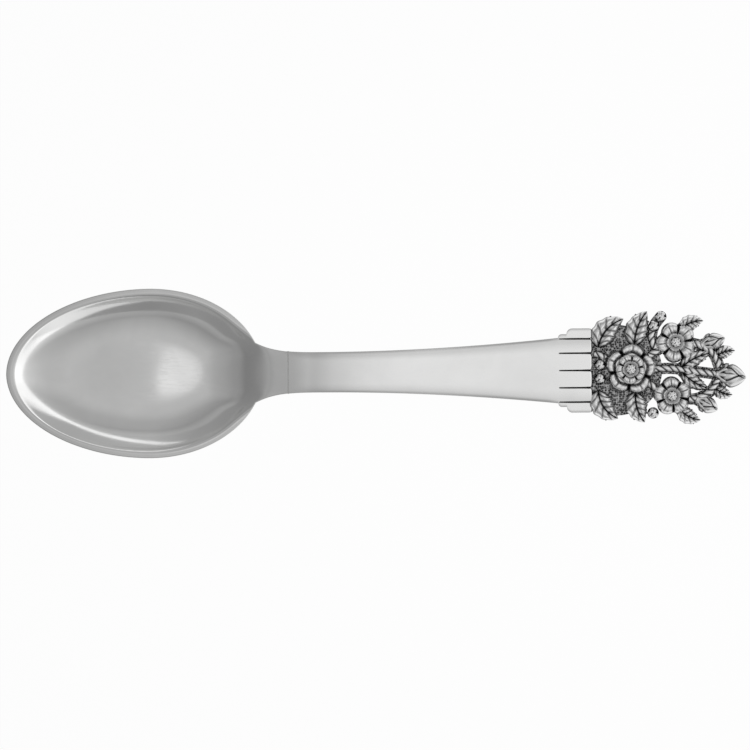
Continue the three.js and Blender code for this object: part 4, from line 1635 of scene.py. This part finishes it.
@dataclass(frozen=True)
class Blossom:
    """An open flower: a ring of petals, on the largest one a second ring, and a bead of grains."""

    name: str
    centre: Pair
    radius: float
    turn: float
    inner_radius: float = 0.0
    petals: int = 5
    petal_height: float = 1.8
    petal_seat: float = 1.0
    inner_height: float = 1.2
    inner_seat: float = 0.75
    bead_radius: float = 1.05
    bead_height: float = 0.9
    bead_grains: int = 19
    gap: float = 0.3
    cover_share: float = 0.93
    seat_margin: float = 1.2
    notch: float = 0.78
    edge_power: float = 0.7
    rise_share: float = 0.55
    droop_zone: Pair = (0.6, 0.4)
    droop_power: float = 2.4
    droop_seat: float = 0.62
    least_height: float = 0.2
    cleft_width: float = 0.2
    cleft_floor: float = 0.3
    cleft_share: float = 0.55
    open_middle: Pair = (0.35, 0.16)  # where clefts are full and the heart ends
    covered_middle: Pair = (0.05, 0.05)
    fold_side: float = 0.5
    fold_width: float = 0.14
    fold_depth: float = 0.16
    fold_start: float = 0.2
    fold_end: Pair = (0.6, 0.4)
    ray_depth: float = 0.05
    rays: float = 6.0
    ray_start: Pair = (0.1, 0.3)
    ray_end: Pair = (0.75, 0.2)
    cleft_dark: float = 1.1
    fold_dark: float = 0.5
    ray_dark: float = 0.14
    rim_dark: float = 0.45
    rim_zone: Pair = (0.86, 0.14)
    heart_dark: float = 0.5
    face_dark: float = 0.02
    seat_rings: int = 3
    rings: int = 40
    columns: int = 241

    def ring(
        self, ground: Ground, name: str, radius: float, turn: float, seat_radius: float, seat: float,
        tall: float, base: float, is_covered: bool = False,
    ) -> Piece:
        """Return one ring of petals.

        Args:
            ground: Where it stands.
            name: The new piece's name.
            radius: The distance from its middle to a petal's end.
            turn: The angle of its first petal.
            seat_radius: The radius of its flat middle.
            seat: The height of that middle.
            tall: The height of its petals.
            base: The height of what it is soldered on, above the plate.
            is_covered: Whether another ring covers its middle.

        Returns:
            The piece.
        """
        angle = np.linspace(0.0, 2.0 * math.pi, self.columns)
        wave = np.abs(np.cos(self.petals / 2.0 * (angle - turn)))
        scallop = mix(self.notch, 1.0, wave**self.edge_power)
        edge = np.maximum(seat_radius * self.seat_margin, radius * scallop)
        rings = np.linspace(0.0, 1.0, self.rings)[1:, None]
        flat = np.linspace(0.0, seat_radius, self.seat_rings)[:, None] * np.ones_like(angle)
        reach = np.concatenate([flat, mix(seat_radius, edge, rings)])
        share = np.broadcast_to(np.concatenate([np.zeros((self.seat_rings, 1)), rings]), reach.shape)
        cleft_start, heart_end = self.covered_middle if is_covered else self.open_middle
        cleft = line_mark(np.broadcast_to(wave, reach.shape), self.cleft_width) * ease(share / cleft_start)
        side = np.broadcast_to(np.sin(self.petals * (angle - turn)), reach.shape)
        fold = line_mark(side, self.fold_width) * (wave > self.fold_side)
        fold = fold * ease(share / self.fold_start) * (1.0 - fade(share, *self.fold_end))
        rays = 0.5 + 0.5 * np.cos(self.rays * self.petals * (angle - turn))
        rays = rays * fade(share, *self.ray_start) * (1.0 - fade(share, *self.ray_end))
        rise = seat + (tall - seat) * ease(share / self.rise_share)
        start, length = self.droop_zone
        droop = np.maximum(0.0, (share - start) / length) ** self.droop_power
        drop = (tall - self.droop_seat * seat) * droop
        height = rise - drop - self.cleft_share * cleft * (tall - self.cleft_floor)
        height = np.maximum(height - self.fold_depth * fold - self.ray_depth * rays, self.least_height)
        rim = fade(share, *self.rim_zone)
        heart = 1.0 - ease(share / heart_end)
        dark = self.face_dark + self.cleft_dark * cleft + self.fold_dark * fold + self.ray_dark * rays
        dark = dark + self.rim_dark * rim + self.heart_dark * heart
        return ground.disc(name, self.centre, reach, height, dark, base)

    def build(self, ground: Ground) -> dict[str, Piece]:
        """Build the flower.

        Args:
            ground: Where it stands.

        Returns:
            Its pieces, each under the name of the node that it replaces.
        """
        title = f"silver_{self.name}"
        is_covered = self.inner_radius > 0.0
        bead_seat = self.bead_radius + self.gap
        seat_radius = self.cover_share * self.inner_radius if is_covered else bead_seat
        made = {f"{self.name}_petals": self.ring(
            ground, f"{title}_petals", self.radius, self.turn, seat_radius, self.petal_seat,
            self.petal_height, 0.0, is_covered)}
        seat = self.petal_seat
        if is_covered:
            made[f"{self.name}_inner_petals"] = self.ring(
                ground, f"{title}_inner_petals", self.inner_radius, self.turn + math.pi / self.petals,
                bead_seat, self.inner_seat, self.inner_height, seat)
            seat += self.inner_seat
        bead = Berry(
            f"{self.name}_bead", self.centre, self.bead_radius, self.bead_height, self.bead_grains, seat)
        made[bead.name] = bead.build(ground)
        return made


@dataclass
class Finial:
    """The openwork finial: a sawn plate with a spray of flowers, buds, leaves, berries and stems on it."""

    frame_nodes: dict[str, Piece]
    lines: Lines
    plate_edge: float = 0.12
    plate_bevels: int = 2
    bevel_from: float = 50.0
    flat_angle: float = 1.0
    front_share: float = 0.99
    front_dark: float = 0.95
    side_dark: Pair = (0.3, 0.8)
    berry_radius: float = 1.15
    berry_height: float = 1.35
    berry_grains: int = 8

    @property
    def ground(self) -> Ground:
        """Return where the ornaments stand, on the frame's plate."""
        return Ground(self.lines.collar_x, float(box_mm("finial_plate")[1][2]))

    @property
    def blossoms(self) -> list[Blossom]:
        """Return the flowers."""
        return [
            Blossom("large_flower", (7.8, 0.2), 5.3, 0.2, 3.1),
            Blossom("upper_flower", (17.0, 5.6), 4.2, 0.75),
            Blossom("lower_flower", (16.2, -5.3), 4.0, 0.4),
        ]

    @property
    def buds(self) -> list[Bud]:
        """Return the buds."""
        return [
            Bud("tip_bud", Bow((25.0, -0.9), (31.2, -1.7)), 2.5),
            Bud("upper_bud", Bow((22.0, 4.9), (27.0, 6.4)), 1.9),
            Bud("lower_bud", Bow((21.0, -5.9), (25.4, -8.2)), 1.9),
        ]

    @property
    def leaves(self) -> list[Leaf]:
        """Return the leaves."""
        return [
            Leaf("leaf_top_root", Bow((1.2, 4.6), (6.4, 10.4), 1.1), 2.6),
            Leaf("leaf_top_middle", Bow((8.6, 4.9), (11.2, 11.9), 0.7), 2.5, 0.03),
            Leaf("leaf_top_end", Bow((18.0, 8.3), (22.6, 9.9), 0.5), 1.7, 0.03),
            Leaf("leaf_bottom_root", Bow((1.2, -4.0), (5.2, -9.8), -1.1), 2.5),
            Leaf("leaf_bottom_middle", Bow((8.8, -4.4), (10.6, -10.6), -0.7), 2.4, 0.04),
            Leaf("leaf_bottom_end", Bow((17.6, -7.9), (21.9, -10.2), -0.5), 1.7, 0.03),
            Leaf("leaf_inner_upper", Bow((18.0, 0.4), (24.2, 3.4), 0.5), 1.7, 0.05),
            Leaf("leaf_inner_lower", Bow((18.2, -0.4), (23.6, -3.8), -0.5), 1.6, 0.05),
            Leaf("leaf_tip_upper", Bow((25.2, 2.7), (29.0, 3.8), 0.4), 1.4, 0.06),
            Leaf("leaf_tip_lower", Bow((24.8, -3.7), (28.4, -5.1), -0.4), 1.4, 0.06),
        ]

    @property
    def berries(self) -> list[Berry]:
        """Return the berries.

        Returns:
            The berries, all of one size.
        """
        places = {
            "berry_top_1": (12.6, 8.9),
            "berry_top_2": (14.0, 10.8),
            "berry_root_1": (1.6, 1.1),
            "berry_root_2": (1.6, -1.7),
            "berry_bottom": (12.3, -8.7),
        }
        size = (self.berry_radius, self.berry_height, self.berry_grains)
        return [Berry(name, place, *size) for name, place in places.items()]

    @property
    def stems(self) -> list[Stem]:
        """Return the stems, each from the edge of the flower that it leaves."""
        return [
            Stem("main_stem", Wire(((11.6, 0.1), (16.0, 0.3), (20.4, -0.3), (25.0, -0.9))), 0.08, 1.0),
            Stem("upper_stem", Wire(((11.2, 2.8), (12.4, 3.4), (13.8, 4.4), (15.2, 5.4))), 0.12, 0.72),
            Stem("lower_stem", Wire(((11.0, -2.4), (12.2, -3.2), (13.6, -4.2), (15.0, -5.2))), 0.12, 0.66),
            Stem("upper_branch", Wire(((19.6, 5.5), (22.0, 4.9), (24.6, 3.3), (25.8, 0.5))), 0.14, 1.0),
            Stem("lower_branch", Wire(((18.4, -5.7), (21.0, -5.9), (24.0, -4.4), (25.6, -2.0))), 0.18, 1.0),
            Stem("berry_stem", Wire(((12.9, 4.2), (12.1, 6.4), (12.6, 8.9), (14.0, 10.8))), 0.05, 0.52),
            Stem("root_stem", Wire(((0.4, 3.4), (2.0, 2.9), (3.4, 1.8), (7.0, 0.4))), 0.02, 0.5),
        ]

    def build_plate(self) -> Piece:
        """Build the plate: the frame's sheet, merged, cleaned and with its sawn edges eased.

        Returns:
            The piece.
        """
        mesh = self.frame_nodes["finial_plate"].data.copy()
        mesh.name = "silver_finial_plate"
        piece = bpy.data.objects.new("silver_finial_plate", mesh)
        bpy.context.scene.collection.objects.link(piece)
        close_and_face_out(piece, PLATE_CREASE)
        bpy.ops.object.mode_set(mode="EDIT")
        bpy.ops.mesh.select_all(action="SELECT")
        bpy.ops.mesh.dissolve_limited(angle_limit=math.radians(self.flat_angle))
        bpy.ops.object.mode_set(mode="OBJECT")
        bevel = piece.modifiers.new("eased edges", "BEVEL")
        bevel.width = self.plate_edge * MM
        bevel.segments = self.plate_bevels
        bevel.limit_method = "ANGLE"
        bevel.angle_limit = math.radians(self.bevel_from)
        bpy.ops.object.modifier_apply(modifier=bevel.name)
        flat = np.empty(len(mesh.vertices) * 3, dtype=np.float32)
        mesh.vertices.foreach_get("co", flat)
        height = flat[2::3]
        share = (height - height.min()) / (height.max() - height.min())
        dark = np.where(share > self.front_share, self.front_dark, mix(*self.side_dark, share))
        layer = mesh.attributes.new(OXIDE_AND_SHADE, "FLOAT", "POINT")
        layer.data.foreach_set("value", dark.astype(np.float32))
        bpy.ops.object.shade_smooth_by_angle(angle=math.radians(PLATE_CREASE))
        return piece

    def build(self) -> dict[str, Piece]:
        """Build the ornaments.

        Returns:
            The pieces, each under the name of the node that it replaces.
        """
        ground = self.ground
        made: dict[str, Piece] = {}
        for blossom in self.blossoms:
            made.update(blossom.build(ground))
        for bud in self.buds:
            made[bud.name] = bud.build(ground)
            made[f"{bud.name}_calyx"] = bud.build_calyx(ground)
        for ornament in (*self.leaves, *self.berries, *self.stems):
            made[ornament.name] = ornament.build(ground)
        return made

    def dress(self, plate: Piece, ornaments: dict[str, Piece]) -> None:
        """Give the plate its black ground and the ornaments their worn silver.

        Args:
            plate: The plate.
            ornaments: The other pieces, each under the name of the node that it replaces.
        """
        settle(plate, "finial_plate", OxidisedSilver())
        for node, piece in ornaments.items():
            settle(piece, node, CastSilver())


class PanelShape(Enum):
    """The outlines that a light panel can have."""

    RECTANGLE = "RECTANGLE"
    ELLIPSE = "ELLIPSE"


@dataclass
class Studio:
    """The pale floor, the soft light and the camera straight above.

    The stops of the panel are millimetres from its middle with a brightness, and those of the room are
    places from 0 to 1 with a brightness.
    """

    view_width: float = 152.3
    view_centre: Pair = (-0.31, -0.63)
    camera_height: float = 1500.0
    clip_range: Pair = (0.01, 20.0)
    sensor: float = 36.0
    roll: float = -0.4
    floor_size: float = 6000.0
    floor_drop: float = 0.05
    floor_colour: Colour = (0.9, 0.9, 0.9, 1.0)
    floor_glow: float = 0.97
    room_near: Stops = ((0.0, 0.22), (0.3, 0.29), (0.5, 0.26), (0.68, 0.32), (0.85, 0.41), (1.0, 0.2))
    room_far: Stops = ((0.0, 0.22), (0.3, 0.32), (0.5, 0.45), (0.68, 0.4), (0.85, 0.43), (1.0, 1.0))
    room_dark: Colour = (0.0, 0.0, 0.0, 1.0)
    room_top: Pair = (0.41, 0.62)
    side_blend: Pair = (-0.3, 0.3)
    band_slant: float = 0.72
    band_sharpness: float = 20.0
    band_top: Stops = ((0.0, 0.07), (0.06, 0.13), (0.12, 0.1), (0.2, 0.04), (0.55, 0.0), (0.97, 0.28))
    band_foot: tuple[float, ...] = (0.45, 0.8, -0.45, 0.1)
    band_start: Pair = (-0.1, -0.4)
    band_start_sharpness: float = 10.0
    band_near: Stops = (
        (0.0, 0.55), (0.45, 0.6), (0.6, 0.7), (0.72, 0.88), (0.8, 0.8), (0.88, 0.45), (1.0, 0.35))
    band_far: Stops = ((0.0, 0.7), (0.4, 0.8), (0.6, 1.0), (0.7, 0.9), (0.82, 0.5), (1.0, 0.35))
    panel_height: float = 65.0
    panel_size: Pair = (300.0, 240.0)
    panel_glow: float = 1.15
    panel_along: Stops = (
        (-150, 0.0), (-138, 0.07), (-124, 0.17), (-108, 0.27), (-93, 0.32), (-80, 0.345), (-67, 0.375),
        (-55, 0.425), (-50, 0.45), (-45, 0.465), (-38, 0.45), (-30, 0.455), (-15, 0.51), (0, 0.585),
        (10, 0.64), (20, 0.68), (35, 0.72), (60, 0.75), (100, 0.98), (150, 0.98))
    panel_across: Stops = (
        (-120, 0.23), (-60, 0.68), (-30, 0.82), (-12, 0.94), (12, 0.96), (30, 0.77), (60, 0.73), (120, 0.1))
    lamp_centre: Pair = (-40.4, -2.0)
    lamp_drop: float = 1.0
    lamp_size: Pair = (11.0, 17.0)
    lamp_radiance: float = 0.34
    lamp_spread: float = 35.0

    def floor(self) -> None:
        """Lay a pale floor that shows as white and keeps the spoon's shadow."""
        bpy.ops.object.select_all(action="DESELECT")
        bpy.ops.mesh.primitive_plane_add(size=self.floor_size * MM, location=(0.0, 0.0, 0.0))
        floor = bpy.context.object
        floor.name = "floor"
        floor.data.transform(((1, 0, 0, 0), (0, 1, 0, 0), (0, 0, 1, -self.floor_drop * MM), (0, 0, 0, 1)))
        made = bpy.data.materials.new("pale floor")
        made.use_nodes = True
        nodes = NodeTree(made.node_tree)
        lit = nodes.add("ShaderNodeBsdfDiffuse", Color=self.floor_colour)
        glow = nodes.add("ShaderNodeEmission", Color=(1.0, 1.0, 1.0, 1.0), Strength=1.0)
        path = nodes.add("ShaderNodeLightPath")
        seen = nodes.math("MAXIMUM", path.outputs["Is Camera Ray"], path.outputs["Is Glossy Ray"])
        seen = nodes.math("MAXIMUM", seen, path.outputs["Is Transmission Ray"])
        blend = nodes.add("ShaderNodeMixShader")
        nodes.link(nodes.math("MULTIPLY", seen, self.floor_glow), blend.inputs["Fac"])
        nodes.link(lit.outputs["BSDF"], blend.inputs[1])
        nodes.link(glow.outputs["Emission"], blend.inputs[2])
        nodes.link(blend.outputs["Shader"], nodes.add("ShaderNodeOutputMaterial").inputs["Surface"])
        floor.data.materials.append(made)

    def world(self) -> None:
        """Light the room: bright beyond the finial, dim elsewhere, with a slanting band of light."""
        world = bpy.data.worlds.new("studio")
        bpy.context.scene.world = world
        world.use_nodes = True
        nodes = NodeTree(world.node_tree)
        apart = nodes.add("ShaderNodeSeparateXYZ")
        nodes.link(nodes.add("ShaderNodeTexCoord").outputs["Generated"], apart.inputs["Vector"])
        x, y, z = (apart.outputs[axis] for axis in "XYZ")
        along = nodes.spread(x, -1.0, 1.0)
        far_side = nodes.spread(y, *self.side_blend)
        sides = nodes.blend(far_side, nodes.ramp(along, self.room_near), nodes.ramp(along, self.room_far))
        room = nodes.blend(nodes.spread(z, *self.room_top), sides, self.room_dark)
        slant = nodes.math("SUBTRACT", z, nodes.math("MULTIPLY", x, self.band_slant))
        top = nodes.ramp(nodes.spread(y, -1.0, 1.0), self.band_top)
        foot = nodes.spread(y, *self.band_foot)
        start = nodes.spread(y, *self.side_blend, *self.band_start)
        below = nodes.math("MULTIPLY", nodes.math("SUBTRACT", top, slant), self.band_sharpness, clamp=True)
        above = nodes.math("MULTIPLY", nodes.math("SUBTRACT", slant, foot), self.band_sharpness, clamp=True)
        past = nodes.math("SUBTRACT", x, start)
        ahead = nodes.math("MULTIPLY", past, self.band_start_sharpness, clamp=True)
        band = nodes.math("MULTIPLY", nodes.math("MULTIPLY", below, above), ahead)
        level = nodes.blend(far_side, nodes.ramp(along, self.band_near), nodes.ramp(along, self.band_far))
        backdrop = nodes.add("ShaderNodeBackground", Strength=1.0)
        nodes.link(nodes.blend(band, room, level), backdrop.inputs["Color"])
        nodes.link(backdrop.outputs["Background"], nodes.add("ShaderNodeOutputWorld").inputs["Surface"])

    def panel(
        self, name: str, centre: Pair, drop: float, size: Pair, radiance: float, shape: PanelShape
    ) -> bpy.types.Light:
        """Hang a soft panel that faces down and that the camera looks through.

        Args:
            name: The light's name.
            centre: Its place along X and Y.
            drop: How far it hangs below the panels' height.
            size: Its width along X and along Y.
            radiance: How bright its surface is, where 1 is white.
            shape: Its outline.

        Returns:
            The light.
        """
        light = bpy.data.lights.new(name, "AREA")
        light.shape = shape.value
        light.size, light.size_y = size[0] * MM, size[1] * MM
        area = size[0] * size[1] * MM**2 * (math.pi / 4.0 if shape is PanelShape.ELLIPSE else 1.0)
        light.energy = radiance * math.pi * area
        lamp = bpy.data.objects.new(name, light)
        lamp.location = tuple(value * MM for value in (*centre, self.panel_height - drop))
        lamp.visible_camera = False
        bpy.context.scene.collection.objects.link(lamp)
        return light

    def lights(self) -> None:
        """Hang a wide diffuser that is brighter towards the finial, and a small round lamp over the bowl."""
        wide, deep = self.panel_size
        diffuser = self.panel("diffuser", (0.0, 0.0), 0.0, self.panel_size, 1.0, PanelShape.RECTANGLE)
        diffuser.use_nodes = True
        nodes = NodeTree(diffuser.node_tree)
        apart = nodes.add("ShaderNodeSeparateXYZ")
        nodes.link(nodes.add("ShaderNodeNewGeometry").outputs["Parametric"], apart.inputs["Vector"])
        along = tuple((0.5 + place / wide, grey) for place, grey in self.panel_along)
        across = tuple((0.5 + place / deep, grey) for place, grey in self.panel_across)
        shades = nodes.ramp(apart.outputs["X"], along)
        tint = nodes.blend(1.0, shades, nodes.ramp(apart.outputs["Y"], across), "MULTIPLY")
        glow = nodes.add("ShaderNodeEmission", Strength=self.panel_glow)
        nodes.link(tint, glow.inputs["Color"])
        nodes.link(glow.outputs["Emission"], nodes.add("ShaderNodeOutputLight").inputs["Surface"])
        lamp = self.panel(
            "round lamp", self.lamp_centre, self.lamp_drop, self.lamp_size, self.lamp_radiance,
            PanelShape.ELLIPSE)
        half = math.radians(self.lamp_spread) / 2.0
        lamp.spread = 2.0 * half
        lamp.energy *= 1.0 - half / math.tan(half)

    def camera(self) -> None:
        """Set the camera straight above, with the spoon across its frame."""
        camera = bpy.data.cameras.new("camera")
        camera.sensor_width = self.sensor
        camera.lens = self.sensor * self.camera_height / self.view_width
        camera.clip_start, camera.clip_end = self.clip_range
        holder = bpy.data.objects.new("camera", camera)
        holder.location = tuple(value * MM for value in (*self.view_centre, self.camera_height))
        holder.rotation_euler = (0.0, 0.0, math.radians(self.roll))
        bpy.context.scene.collection.objects.link(holder)
        bpy.context.scene.camera = holder
        bpy.context.scene.view_settings.view_transform = "Standard"

    def build(self) -> None:
        """Set up the whole studio."""
        self.floor()
        self.world()
        self.lights()
        self.camera()


def main() -> None:
    """Load the frame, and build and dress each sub-assembly."""
    logging.basicConfig(level=logging.INFO, format="%(message)s")
    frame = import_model()
    lines = Lines.from_frame()
    bowl = Bowl(lines)
    bowl.dress(bowl.build())
    handle = Handle(lines)
    handle.dress(handle.build(), handle.build_seam())
    finial = Finial(frame["nodes"], lines)
    finial.dress(finial.build_plate(), finial.build())
    Studio().build()
    LOG.info("nodes in the frame: %d", len(frame["nodes"]))


if __name__ == "__main__":
    main()
